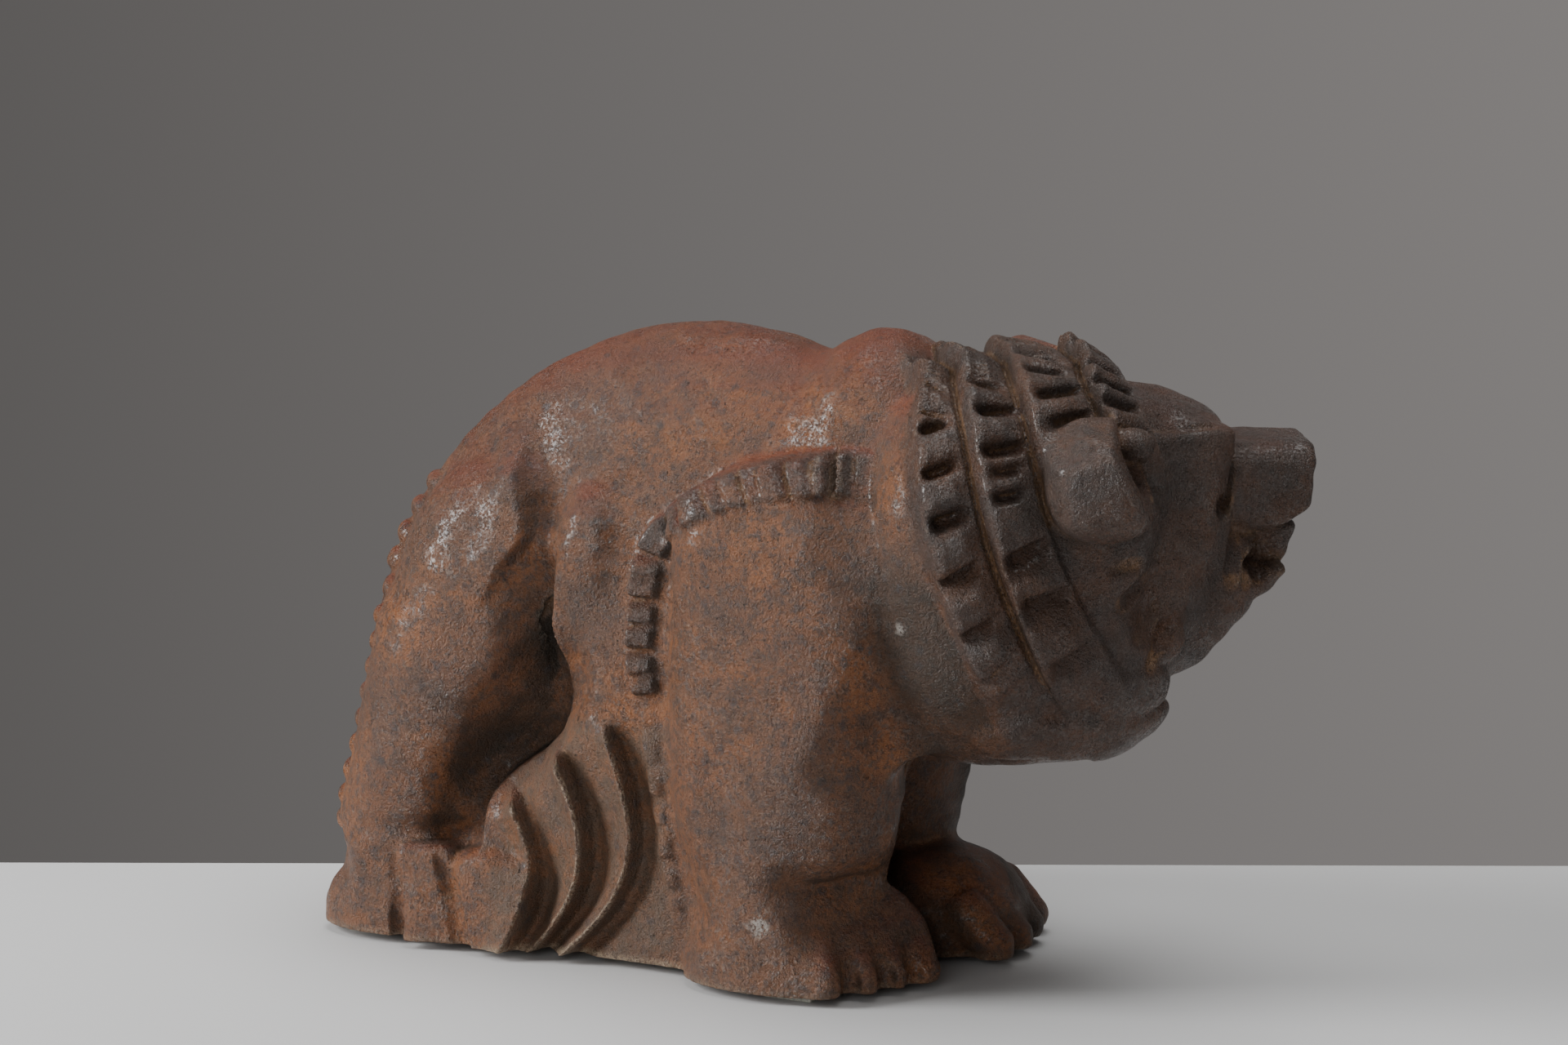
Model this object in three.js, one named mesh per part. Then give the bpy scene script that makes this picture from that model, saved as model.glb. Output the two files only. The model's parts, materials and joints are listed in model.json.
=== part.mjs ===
// A standing bear in one piece of fired stoneware, on four small felt pads.
// Millimetres, +X towards the head end, +Y to the bear's left, +Z up, z = 0 under the pads.
// The bear is laid up as lumps of clay that flow into one another, carved with rows of tufts
// and folds, and then turned into one closed mesh with few, well placed triangles.
import * as THREE from "three";

const { clamp, degToRad, lerp } = THREE.MathUtils;

// Driving dimensions
const PAD_SIDE = 26;
const PAD_HEIGHT = 4;
const PAD_GAP = 0.3;
const PADS = [
  ["pad_front_right", 8, -80],
  ["pad_front_left", 10, 66],
  ["pad_rear_right", -253, -64],
  ["pad_rear_left", -253, 64],
];
const SOLE = PAD_HEIGHT + PAD_GAP; // height of the flat underside
const HALF_WIDTH = 92; // of the barrel of the body
const RUMP_HEIGHT = 125; // where the rump reaches furthest back
const BACK_TOP = 327;
const HUMP_TOP = 328;
const CELL = 3.2; // grid step of the clay
const TRIANGLES = 9800; // left in the bear

const RIGHT = -1;
const LEFT = 1;
const SIDES = [RIGHT, LEFT];

// The head is turned to the bear's left and leans down on its right side.
const NECK = new THREE.Vector3(95, 5, 215);
const HEAD_TURN = degToRad(36);
const HEAD_LEAN = degToRad(10);
const bodyFrame = new THREE.Matrix4();
const headFrame = new THREE.Matrix4()
  .makeTranslation(NECK)
  .multiply(new THREE.Matrix4().makeRotationZ(HEAD_TURN))
  .multiply(new THREE.Matrix4().makeRotationX(HEAD_LEAN));

// Smooth union and smooth cut of two distances, rounded over a width of about k.
function meet(a, b, k) {
  const h = Math.max(k - Math.abs(a - b), 0) / k;
  return Math.min(a, b) - (h * h * k) / 4;
}
const carve = (a, b, k) => -meet(-a, b, k);

// One touch of clay: a shape in its own frame, added or cut away with a soft edge.
class Touch {
  constructor(distance, frame, half, blend, cut, middle = new THREE.Vector3()) {
    this.distance = distance;
    this.inverse = frame.clone().invert().elements;
    this.box = new THREE.Box3(middle.clone().sub(half), middle.clone().add(half)).applyMatrix4(frame);
    this.blend = blend;
    this.cut = cut;
  }
  apply(d, x, y, z) {
    const { min, max } = this.box;
    const away = Math.hypot(
      Math.max(min.x - x, x - max.x, 0),
      Math.max(min.y - y, y - max.y, 0),
      Math.max(min.z - z, z - max.z, 0),
    );
    if (away > this.blend + (this.cut ? -d : d)) return d;
    const e = this.inverse;
    const own = this.distance(
      e[0] * x + e[4] * y + e[8] * z + e[12],
      e[1] * x + e[5] * y + e[9] * z + e[13],
      e[2] * x + e[6] * y + e[10] * z + e[14],
    );
    return this.cut ? carve(d, own, this.blend) : meet(d, own, this.blend);
  }
}
const lay = (touches) => (x, y, z) => touches.reduce((d, touch) => touch.apply(d, x, y, z), 1e3);

// A frame at a point of another frame, turned by angles in degrees about x, then y, then z.
function placed(frame, at, turn = [0, 0, 0]) {
  const own = new THREE.Matrix4().makeRotationFromEuler(new THREE.Euler(...turn.map(degToRad), "ZYX"));
  own.setPosition(...at);
  return frame.clone().multiply(own);
}

// An egg. Powers over 2 make it squarer in plan (x and y) and in profile (height).
function egg([a, b, c], plan, profile) {
  return (x, y, z) => {
    const round = (Math.abs(x / a) ** plan + Math.abs(y / b) ** plan) ** (1 / plan);
    const full = (round ** profile + Math.abs(z / c) ** profile) ** (1 / profile);
    if (full < 1e-6) return -Math.min(a, b, c);
    return (Math.hypot(x, y, z) * (full - 1)) / full;
  };
}

// A block with rounded edges.
function block([a, b, c], round) {
  return (x, y, z) => {
    const qx = Math.abs(x) - a + round;
    const qy = Math.abs(y) - b + round;
    const qz = Math.abs(z) - c + round;
    const outside = Math.hypot(Math.max(qx, 0), Math.max(qy, 0), Math.max(qz, 0));
    return outside + Math.min(Math.max(qx, qy, qz), 0) - round;
  };
}

// A limb from the origin to a point, tapering from one radius to another.
function limb(to, startRadius, endRadius) {
  const length2 = to.lengthSq();
  return (x, y, z) => {
    const t = clamp((x * to.x + y * to.y + z * to.z) / length2, 0, 1);
    return Math.hypot(x - t * to.x, y - t * to.y, z - t * to.z) - lerp(startRadius, endRadius, t);
  };
}

function addEgg(frame, at, radii, { blend = 15, plan = 2, profile = 2, turn, cut = false } = {}) {
  return new Touch(egg(radii, plan, profile), placed(frame, at, turn), new THREE.Vector3(...radii), blend, cut);
}
function addBlock(frame, at, half, { blend = 5, round = 4, turn, cut = false } = {}) {
  return new Touch(block(half, round), placed(frame, at, turn), new THREE.Vector3(...half), blend, cut);
}
function addLimb(frame, from, to, startRadius, endRadius, { blend = 10, cut = false } = {}) {
  const along = new THREE.Vector3(...to).sub(new THREE.Vector3(...from));
  const radius = Math.max(startRadius, endRadius);
  const half = new THREE.Vector3(...along.toArray().map((v) => Math.abs(v) / 2 + radius));
  const middle = along.clone().divideScalar(2);
  return new Touch(limb(along, startRadius, endRadius), placed(frame, from), half, blend, cut, middle);
}

// The frame where a line from outside first meets the clay: x along, y across, z out of the skin.
function onSkin(clay, frame, from, to, along) {
  const point = new THREE.Vector3(...from).applyMatrix4(frame);
  const heading = new THREE.Vector3(...to).applyMatrix4(frame).sub(point).normalize();
  for (let i = 0; i < 60; i++) {
    const d = clay(point.x, point.y, point.z);
    if (d < 0.05) break;
    point.addScaledVector(heading, 0.8 * d);
  }
  const slope = (dx, dy, dz) =>
    clay(point.x + dx, point.y + dy, point.z + dz) - clay(point.x - dx, point.y - dy, point.z - dz);
  const out = new THREE.Vector3(slope(1, 0, 0), slope(0, 1, 0), slope(0, 0, 1)).normalize();
  const run = new THREE.Vector3(...along).transformDirection(frame);
  run.addScaledVector(out, -run.dot(out)).normalize();
  const across = new THREE.Vector3().crossVectors(out, run);
  return new THREE.Matrix4().makeBasis(run, across, out).setPosition(point);
}

// A smooth curve in a side view, as evenly spaced places with their headings.
function sideCurve(points, count) {
  const curve = new THREE.SplineCurve(points.map(([u, v]) => new THREE.Vector2(u, v)));
  return Array.from({ length: count }, (_, i) => {
    const t = i / (count - 1);
    return { at: curve.getPointAt(t), heading: curve.getTangentAt(t) };
  });
}
const FAR_OUT = 260;

// The skin frames along a curve drawn on one side of the body or the head.
function alongSide(clay, frame, side, points, count) {
  return sideCurve(points, count).map(({ at, heading }) =>
    onSkin(clay, frame, [at.x, side * FAR_OUT, at.y], [at.x, 0, at.y], [heading.x, 0, heading.y]),
  );
}

// The body: rump, back, hump and neck, over the rock that fills the space under the belly.
// Between the front legs both are cut back, which leaves an arch under the throat.
function trunk() {
  const reach = 198; // from the middle of the body to the back of the rump
  const humpHeight = 225;
  const arch = 15; // how far behind the middle of the bear the arch ends
  return [
    addEgg(bodyFrame, [-84, 0, RUMP_HEIGHT], [reach, HALF_WIDTH - 6, BACK_TOP - RUMP_HEIGHT],
      { plan: 2.8, profile: 1.9, blend: 1 }),
    addBlock(bodyFrame, [-75, 0, 64], [112, 80, 76], { blend: 10, round: 12 }),
    addEgg(bodyFrame, [110 - arch, 0, 40], [110, 130, 95], { blend: 14, cut: true }),
    addEgg(bodyFrame, [18, 0, humpHeight], [60, 68, HUMP_TOP - humpHeight], { blend: 14 }),
    addEgg(bodyFrame, [64, -2, 200], [76, 76, 86], { blend: 24 }),
  ];
}

// A front leg: shoulder, column and a mound of a paw with its toes, turned outwards.
function frontLeg(side, x, halfLength, pawAt, toeOut, pawWidth, pawReach) {
  const y = side * 62;
  const paw = placed(bodyFrame, pawAt, [0, 0, side * toeOut]);
  const leg = [
    addEgg(bodyFrame, [x, y, 150], [halfLength, 46, 116], { blend: 8, plan: 2.8, profile: 3 }),
    addLimb(bodyFrame, [x - 2, y, 92], [x + 2, y, 12], halfLength - 14, halfLength - 14, { blend: 14 }),
    addEgg(bodyFrame, [x + 2, y + side * 6, 0], [halfLength - 6, 38, 44], { blend: 8, plan: 2.6 }),
    addEgg(paw, [-14, 0, 4], [pawReach + 6, pawWidth / 2 - 4, 46], { blend: 8, plan: 2.5, profile: 2.2 }),
  ];
  const toes = 5;
  for (let i = 0; i < toes; i++) {
    const spread = (i / (toes - 1) - 0.5) * 2;
    const out = spread * (pawWidth / 2 - 11);
    const front = pawReach - 8 * spread * spread;
    leg.push(addLimb(paw, [front - 28, out * 0.9, 20], [front - 12, out, 4], 15, 12, { blend: 3 }));
  }
  return leg;
}

// A hind leg: knee, thigh, shin and a paw turned outwards.
function hindLeg(side) {
  const leg = [
    addEgg(bodyFrame, [-150, side * 44, 186], [38, 42, 52], { blend: 8 }),
    addEgg(bodyFrame, [-188, side * 50, 180], [56, 46, 80], { blend: 12, turn: [0, 14, 0] }),
    addLimb(bodyFrame, [-208, side * 54, 150], [-242, side * 54, 56], 47, 37, { blend: 12 }),
    addEgg(bodyFrame, [-212, side * 56, 4], [74, 36, 50], { blend: 6, plan: 3.2 }),
  ];
  for (const [x, out, size] of [[-252, 70, 20], [-213, 81, 16], [-182, 80, 15], [-158, 74, 12]])
    leg.push(addLimb(bodyFrame, [x, side * (out - 5), 34], [x - 2, side * out, -2], size, size, { blend: 3 }));
  return leg;
}

// The deep hollow between the hind leg, the belly and the rock.
const hollow = (side) =>
  addEgg(bodyFrame, [-164, side * 98, 122], [28, 34, 74], { blend: 6, turn: [0, 38, 0], cut: true });

// The flutes of the rock: ridges like nested brackets, steep in front and easy behind. Each bows
// furthest forward at a height, and curves back above and below it.
const RIDGES = [
  { front: -142, height: 45, bow: 0.0146, top: 86, rise: 5 },
  { front: -115, height: 63, bow: 0.0094, top: 108, rise: 6 },
  { front: -85, height: 72, bow: 0.0101, top: 114, rise: 5 },
];
const ease = (t) => (1 - Math.cos(Math.PI * clamp(t, 0, 1))) / 2;
function flutes(x, y, z) {
  if (Math.abs(y) < 55 || x < -200 || x > -50 || z > 128) return 0;
  let height = 0;
  for (const { front, height: middle, bow, top, rise } of RIDGES) {
    const ahead = x - (front - bow * (z - middle) ** 2);
    const fade = ease((top + 10 - z) / 16);
    if (ahead < 0) height += fade * rise * ease(1 + ahead / 22);
    else height += fade * rise * (1 - ease(ahead / 9) - ease(ahead / 9) * ease(1 - (ahead - 9) / 12));
  }
  return height;
}

// A row of blunt teeth along a curve on the side of the body.
function teeth(clay, side, points, count, [length, width, height]) {
  return alongSide(clay, bodyFrame, side, points, count).map((place) =>
    addBlock(place, [0, 0, 0], [length / 2, width / 2, height], { blend: 2, round: 3.5 }),
  );
}

// The beads down the back edge of the haunch.
function haunchBeads(clay, side) {
  const beads = 14;
  return Array.from({ length: beads }, (_, i) => {
    const z = lerp(236, 58, i / (beads - 1));
    const place = onSkin(clay, bodyFrame, [-400, side * 46, z], [0, side * 46, z], [0, 0, 1]);
    return addEgg(place, [0, 0, -2], [7.5, 11, 5], { blend: 2 });
  });
}

// The core of the head: skull, face, jaw and snout, with the mouth and the eye slits cut.
function skull() {
  const touches = [
    addEgg(headFrame, [-8, 0, -3], [84, 82, 100], { plan: 2.8, profile: 2.8, blend: 1 }),
    addEgg(headFrame, [32, 0, -20], [38, 74, 70], { plan: 2.4, blend: 10 }),
    addBlock(headFrame, [52, 0, 38], [42, 44, 40], { round: 20, blend: 10 }),
    addEgg(headFrame, [50, 0, 42], [50, 40, 45], { blend: 5, profile: 3, turn: [0, 8, 0] }),
    addLimb(headFrame, [52, 0, -2], [88, 0, -12], 60, 35, { blend: 10 }),
    addLimb(headFrame, [60, 0, -24], [98, 0, -21], 46, 24, { blend: 6 }),
    addBlock(headFrame, [98, 0, 39], [44, 26, 23], { round: 12, blend: 4 }),
    addEgg(headFrame, [134, -7, 11], [27, 29, 9], { blend: 2, turn: [0, -14, 0], cut: true }),
    addBlock(headFrame, [104, 0, -6], [27, 25, 8], { round: 7, blend: 5 }),
  ];
  for (const side of SIDES)
    touches.push(addLimb(headFrame, [93, side * 37, 60], [91, side * 37, 30], 5, 3.5, { blend: 3, cut: true }));
  return touches;
}

// The ruff lies in bands round the head. An edge between two bands is furthest back at an angle
// from the crown, and sweeps forward from there by so much per square degree.
const EDGES = [
  { back: -75, angle: 48, sweep: 0.0061 },
  { back: -49, angle: 32, sweep: 0.0051 },
  { back: -20, angle: 22, sweep: 0.0055 },
  { back: 16, angle: 18, sweep: 0.012 },
  { back: 37, angle: 5, sweep: 0.008 },
];
// Each band stands up from the head, ends at an angle, and is parted by slots: the angle of each
// slot at the middle of the band, how deep it goes, and how much lower its rear end lies.
const BANDS = [
  { rise: 8, ends: 124, slots: [[13, 3], [26, 3], [32, 8], [48, 8], [63, 8], [83, 7], [101, 5], [118, 4]] },
  { rise: 9, ends: 121, slots: [[18, 3], [30, 8], [43, 9], [51, 7], [58, 8], [75, 6], [90, 5], [108, 4]] },
  { rise: 9, ends: 50, slots: [[4, 3], [9, 3], [22, 9], [34, 8]] },
  { rise: 14, ends: 52, slots: [[-2, 5], [12, 5], [24, 6], [38, 6]] },
];
const SLOT_LEAN = 0.3; // degrees per millimetre towards the back
const edgeAt = ({ back, angle, sweep }, at) => back + sweep * (at - angle) ** 2;

// The height of the ruff over the bare head. A slot drops steeply at its upper side, where the
// block above overhangs, and eases out below on the lip of the next block.
function ruff(f, v, u) {
  const angle = THREE.MathUtils.radToDeg(Math.atan2(Math.abs(v), u - 10));
  if (angle > 130 || f < -82 || f > 60) return 0;
  let height = 0;
  BANDS.forEach(({ rise, ends, slots }, i) => {
    const rear = edgeAt(EDGES[i], angle);
    const front = edgeAt(EDGES[i + 1], angle);
    if (f < rear || f > front + 1) return;
    const across = (f - rear) / (front - rear);
    const last = i === BANDS.length - 1; // the fringe over the forehead, with a sharper front
    const bank = ease((f - rear) / 6) * ease((front + 1 - f) / (last ? 5 : 7)) * ease((ends - angle) / 8);
    let dip = 0;
    for (const [at, deep] of slots) {
      const below = 1.45 * (angle - at + SLOT_LEAN * (f - (rear + front) / 2));
      const depth = below < 0 ? ease(1 + below / 4) : ease(1 - below / 9);
      dip = Math.max(dip, deep * depth);
    }
    height += bank * (rise - dip * ease(3 * across) * ease(4 - 4 * across));
  });
  return height;
}

function ears() {
  return SIDES.flatMap((side) => [
    addEgg(headFrame, [8, side * 90, 67], [29, 25, 31], { blend: 5, plan: 2.4 }),
    addEgg(headFrame, [37, side * 100, 82], [16, 24, 36], { blend: 1, turn: [0, -29, side * 14], cut: true }),
  ]);
}

const bodyTouches = [
  ...trunk(),
  hollow(RIGHT),
  hollow(LEFT),
  ...hindLeg(RIGHT),
  ...hindLeg(LEFT),
  ...frontLeg(RIGHT, -9, 57, [24, -50, 0], 31, 98, 42),
  ...frontLeg(LEFT, -28, 57, [36, 50, 0], 10, 106, 46),
];
const bareBody = lay(bodyTouches);
const SHOULDER_TOP = [[34, 266], [10, 266], [-16, 260], [-44, 248], [-62, 234], [-71, 214], [-75, 195], [-78, 175], [-77, 156], [-76, 140]];
const LEG_FRINGE = [[-76, 128], [-71, 106], [-64, 82], [-60, 57], [-56, 36], [-49, 20]];
for (const side of SIDES) {
  bodyTouches.push(...teeth(bareBody, side, SHOULDER_TOP, 14, [11, 18, 5]));
  bodyTouches.push(...teeth(bareBody, side, LEG_FRINGE, 6, [15, 12, 3]));
  bodyTouches.push(...haunchBeads(bareBody, side));
}

const bareHead = lay(skull());
const earTouches = ears();
const intoHead = headFrame.clone().invert();
const spot = new THREE.Vector3();
function head(x, y, z) {
  const { x: f, y: v, z: u } = spot.set(x, y, z).applyMatrix4(intoHead);
  const d = bareHead(x, y, z) - ruff(f, v, u);
  return earTouches.reduce((all, touch) => touch.apply(all, x, y, z), d);
}
const body = lay(bodyTouches);
const clay = (x, y, z) => Math.max(meet(body(x, y, z) - flutes(x, y, z), head(x, y, z), 4), -z);

// Turns the clay into a closed mesh: each grid cell is split into six tetrahedra.
function fire(field, low, high, step) {
  const [nx, ny, nz] = [0, 1, 2].map((i) => Math.ceil((high[i] - low[i]) / step) + 1);
  const steps = [1, nx, nx * ny];
  const corner = (n) => [n % nx, Math.floor(n / nx) % ny, Math.floor(n / nx / ny)];
  const values = new Float32Array(nx * ny * nz);
  // Blocks of the grid that lie well inside or outside get one value for all their points.
  const size = 4;
  const far = 2 * size * step;
  for (let k = 0; k < nz; k += size)
    for (let j = 0; j < ny; j += size)
      for (let i = 0; i < nx; i += size) {
        const middle = [i, j, k].map((v, axis) => low[axis] + step * (v + (size - 1) / 2));
        const d = field(...middle);
        for (let c = k; c < Math.min(k + size, nz); c++)
          for (let b = j; b < Math.min(j + size, ny); b++)
            for (let a = i; a < Math.min(i + size, nx); a++)
              values[a + nx * (b + ny * c)] =
                Math.abs(d) > far ? d : field(low[0] + a * step, low[1] + b * step, low[2] + c * step) || 1e-6;
      }
  const points = [];
  const onEdge = new Map();
  function crossing(a, b) {
    const key = Math.min(a, b) * values.length + Math.max(a, b);
    if (!onEdge.has(key)) {
      const t = clamp(values[a] / (values[a] - values[b]), 0.02, 0.98);
      const q = corner(b);
      onEdge.set(key, points.length / 3);
      points.push(...corner(a).map((v, i) => low[i] + step * lerp(v, q[i], t)));
    }
    return onEdge.get(key);
  }
  const orders = [[0, 1, 2], [1, 2, 0], [2, 0, 1], [0, 2, 1], [2, 1, 0], [1, 0, 2]];
  const faces = [];
  for (let n = 0; n < values.length; n++) {
    if (Math.abs(values[n]) > 6 * step) continue;
    const [i, j, k] = corner(n);
    if (i === nx - 1 || j === ny - 1 || k === nz - 1) continue;
    orders.forEach((order, turn) => {
      const tet = [n];
      for (const axis of order) tet.push(tet[tet.length - 1] + steps[axis]);
      const inside = tet.filter((v) => values[v] < 0);
      if (!inside.length || inside.length === 4) return;
      const sorted = [...inside, ...tet.filter((v) => values[v] >= 0)];
      // An odd number of swaps between the two orders turns the faces over.
      let swaps = turn < 3 ? 0 : 1;
      for (let a = 0; a < 4; a++)
        for (let b = a + 1; b < 4; b++) if (tet.indexOf(sorted[a]) > tet.indexOf(sorted[b])) swaps++;
      const add = (a, b, c) => faces.push(...(swaps % 2 ? [a, c, b] : [a, b, c]));
      const [p, q, r, s] = sorted;
      if (inside.length === 1) add(crossing(p, q), crossing(p, r), crossing(p, s));
      else if (inside.length === 3) add(crossing(p, s), crossing(q, s), crossing(r, s));
      else {
        add(crossing(p, r), crossing(p, s), crossing(q, s));
        add(crossing(p, r), crossing(q, s), crossing(q, r));
      }
    });
  }
  return { points, faces };
}

// A queue that hands out the cheapest entry first.
class Queue {
  entries = [];
  push(entry) {
    const list = this.entries;
    let i = list.push(entry) - 1;
    while (i > 0) {
      const parent = (i - 1) >> 1;
      if (list[parent].cost <= list[i].cost) break;
      [list[parent], list[i]] = [list[i], list[parent]];
      i = parent;
    }
  }
  pop() {
    const list = this.entries;
    const first = list[0];
    const last = list.pop();
    if (!list.length) return first;
    list[0] = last;
    for (let i = 0; ; ) {
      let least = i;
      for (const child of [2 * i + 1, 2 * i + 2])
        if (child < list.length && list[child].cost < list[least].cost) least = child;
      if (least === i) return first;
      [list[least], list[i]] = [list[i], list[least]];
      i = least;
    }
  }
}

// Thins a closed mesh: the edge whose removal moves the surface least goes first.
// Each corner carries the sum of the squared distances to the planes that met there.
function thin({ points, faces }, target) {
  const corners = [];
  for (let i = 0; i < points.length; i += 3)
    corners.push({ at: new THREE.Vector3(points[i], points[i + 1], points[i + 2]), faces: new Set(), planes: new Float64Array(10), turn: 0 });
  const flat = new THREE.Triangle();
  const normal = new THREE.Vector3();
  let left = 0;
  for (let i = 0; i < faces.length; i += 3) {
    const face = [corners[faces[i]], corners[faces[i + 1]], corners[faces[i + 2]]];
    flat.set(...face.map((corner) => corner.at)).getNormal(normal);
    const area = flat.getArea();
    const { x, y, z } = normal;
    const w = -normal.dot(face[0].at);
    const plane = [x * x, x * y, x * z, x * w, y * y, y * z, y * w, z * z, z * w, w * w];
    for (const corner of face) {
      corner.faces.add(face);
      plane.forEach((v, j) => (corner.planes[j] += v * area));
    }
    left++;
  }
  const neighbours = (corner) => {
    const found = new Set();
    for (const face of corner.faces) for (const other of face) if (other !== corner) found.add(other);
    return found;
  };
  const queue = new Queue();
  const system = new THREE.Matrix3();
  function offer(a, b) {
    const q = a.planes.map((v, i) => v + b.planes[i]);
    const error = ({ x, y, z }) =>
      q[0] * x * x + q[4] * y * y + q[7] * z * z + q[9] +
      2 * (q[1] * x * y + q[2] * x * z + q[3] * x + q[5] * y * z + q[6] * y + q[8] * z);
    const middle = a.at.clone().add(b.at).divideScalar(2);
    const choices = [middle, a.at, b.at];
    system.set(q[0], q[1], q[2], q[1], q[4], q[5], q[2], q[5], q[7]);
    const size = q[0] + q[4] + q[7];
    if (Math.abs(system.determinant()) > 1e-4 * size ** 3) {
      const best = new THREE.Vector3(-q[3], -q[6], -q[8]).applyMatrix3(system.invert());
      if (best.distanceTo(middle) < 2 * a.at.distanceTo(b.at)) choices.push(best);
    }
    const at = choices.reduce((p, r) => (error(r) < error(p) ? r : p)).clone();
    const cost = Math.max(error(at), 0) + 1e-3 * a.at.distanceToSquared(b.at);
    queue.push({ cost, a, b, at, turns: a.turn + b.turn });
  }
  function turnsOver(corner, other, at) {
    for (const face of corner.faces) {
      if (face.includes(other)) continue;
      const before = flat.set(...face.map((c) => c.at)).getNormal(normal).clone();
      const after = flat.set(...face.map((c) => (c === corner ? at : c.at))).getNormal(normal);
      if (before.dot(after) < 0.2 || flat.getArea() < 0.02) return true;
    }
    return false;
  }
  corners.forEach((corner, i) => (corner.order = i));
  for (const a of corners) for (const b of neighbours(a)) if (a.order < b.order) offer(a, b);
  while (left > target && queue.entries.length) {
    const { a, b, at, turns } = queue.pop();
    if (a.gone || b.gone || a.turn + b.turn !== turns) continue;
    const aroundA = neighbours(a);
    const shared = [...neighbours(b)].filter((corner) => aroundA.has(corner));
    if (shared.length !== 2 || turnsOver(a, b, at) || turnsOver(b, a, at)) continue;
    for (const face of [...b.faces]) {
      if (face.includes(a)) {
        for (const corner of face) corner.faces.delete(face);
        left--;
      } else {
        face[face.indexOf(b)] = a;
        a.faces.add(face);
      }
    }
    b.gone = true;
    a.at.copy(at);
    a.planes = a.planes.map((v, i) => v + b.planes[i]);
    a.turn = Math.max(a.turn, b.turn) + 1;
    for (const corner of neighbours(a)) offer(a, corner);
  }
  const kept = corners.filter((corner) => !corner.gone);
  kept.forEach((corner, i) => (corner.order = i));
  const all = new Set(kept.flatMap((corner) => [...corner.faces]));
  return {
    points: kept.flatMap((corner) => corner.at.toArray()),
    faces: [...all].flatMap((face) => face.map((corner) => corner.order)),
  };
}

// The bear stands on its pads with the middle of its bounds over the origin.
const { points, faces } = thin(fire(clay, [-310, -140, -10], [290, 170, 350], CELL), TRIANGLES);
const geometry = new THREE.BufferGeometry();
geometry.setAttribute("position", new THREE.Float32BufferAttribute(points, 3));
geometry.setIndex(faces);
geometry.computeBoundingBox();
const middle = geometry.boundingBox.getCenter(new THREE.Vector3());
geometry.translate(-middle.x, -middle.y, SOLE);

const stoneware = new THREE.MeshStandardMaterial({ color: 0x7a4f3a, roughness: 0.45 });
const felt = new THREE.MeshStandardMaterial({ color: 0xc9c8b8, roughness: 0.9 });
const sculpture = new THREE.Group();
function addPiece(name, shape, material) {
  const piece = new THREE.Mesh(shape, material);
  piece.name = name;
  sculpture.add(piece);
}
addPiece("bear", geometry, stoneware);
for (const [name, x, y] of PADS) {
  const pad = new THREE.BoxGeometry(PAD_SIDE, PAD_SIDE, PAD_HEIGHT);
  addPiece(name, pad.translate(x - middle.x, y - middle.y, PAD_HEIGHT / 2), felt);
}
export default sculpture;
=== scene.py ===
import json
import math

import bpy
import numpy as np
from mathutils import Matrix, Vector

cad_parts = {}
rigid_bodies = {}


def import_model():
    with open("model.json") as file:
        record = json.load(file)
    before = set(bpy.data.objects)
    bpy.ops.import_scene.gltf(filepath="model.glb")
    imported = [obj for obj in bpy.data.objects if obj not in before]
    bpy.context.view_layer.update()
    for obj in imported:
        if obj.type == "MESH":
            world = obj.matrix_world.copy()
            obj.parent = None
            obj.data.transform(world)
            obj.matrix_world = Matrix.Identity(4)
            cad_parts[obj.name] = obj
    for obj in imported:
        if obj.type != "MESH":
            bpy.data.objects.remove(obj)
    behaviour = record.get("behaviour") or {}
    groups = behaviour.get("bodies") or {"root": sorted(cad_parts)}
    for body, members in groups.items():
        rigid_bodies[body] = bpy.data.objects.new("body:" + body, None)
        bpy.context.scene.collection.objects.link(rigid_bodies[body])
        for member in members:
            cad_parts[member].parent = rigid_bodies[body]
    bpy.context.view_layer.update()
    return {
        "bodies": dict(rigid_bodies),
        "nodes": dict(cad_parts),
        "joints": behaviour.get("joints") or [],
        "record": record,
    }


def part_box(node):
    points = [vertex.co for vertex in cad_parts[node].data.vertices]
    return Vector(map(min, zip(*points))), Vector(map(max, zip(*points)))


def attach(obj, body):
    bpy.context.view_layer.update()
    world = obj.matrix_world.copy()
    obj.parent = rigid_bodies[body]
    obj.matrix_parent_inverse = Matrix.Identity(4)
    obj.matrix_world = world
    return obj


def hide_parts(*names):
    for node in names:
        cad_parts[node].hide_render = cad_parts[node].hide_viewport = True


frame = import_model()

import openvdb
from bpy.props import FloatProperty, FloatVectorProperty, IntProperty, PointerProperty
from mathutils import Euler, Matrix, Vector
from numpy.linalg import norm

bl_info = {
    "name": "Bear Sculpture",
    "version": (1, 0, 0),
    "blender": (4, 5, 0),
    "location": "3D View > Sidebar > Bear",
    "description": "A standing bear of glazed stoneware on small pads, with its studio",
    "category": "Object",
}

# The clay is worked in millimetres in the bear's own frame, with z = 0 at the flat underside.
# This is where that frame lies in the part: the pads carry it, and its bounds are centred.
CLAY_ORIGIN = Vector((30.146, -0.145, 4.3))
MM = 0.001
HEAD = (
    Matrix.Translation((95, 5, 215))
    @ Matrix.Rotation(math.radians(36), 4, "Z")
    @ Matrix.Rotation(math.radians(10), 4, "X")
)
BODY = Matrix.Identity(4)
# The frames of the right and the left side: what goes on both sides is written with y outwards.
FLANKS = (Matrix.Scale(-1, 4, (0, 1, 0)), BODY)
CHEEKS = [HEAD @ flank for flank in FLANKS]


def amount(name, description, default, low, high):
    return FloatProperty(name=name, description=description, default=default, min=low, max=high)


def angle(name, description, degrees):
    return FloatProperty(name=name, description=description, default=math.radians(degrees), subtype="ANGLE")


def length(name, description, default, low):
    return FloatProperty(name=name, description=description, default=default, min=low, unit="LENGTH")


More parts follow.
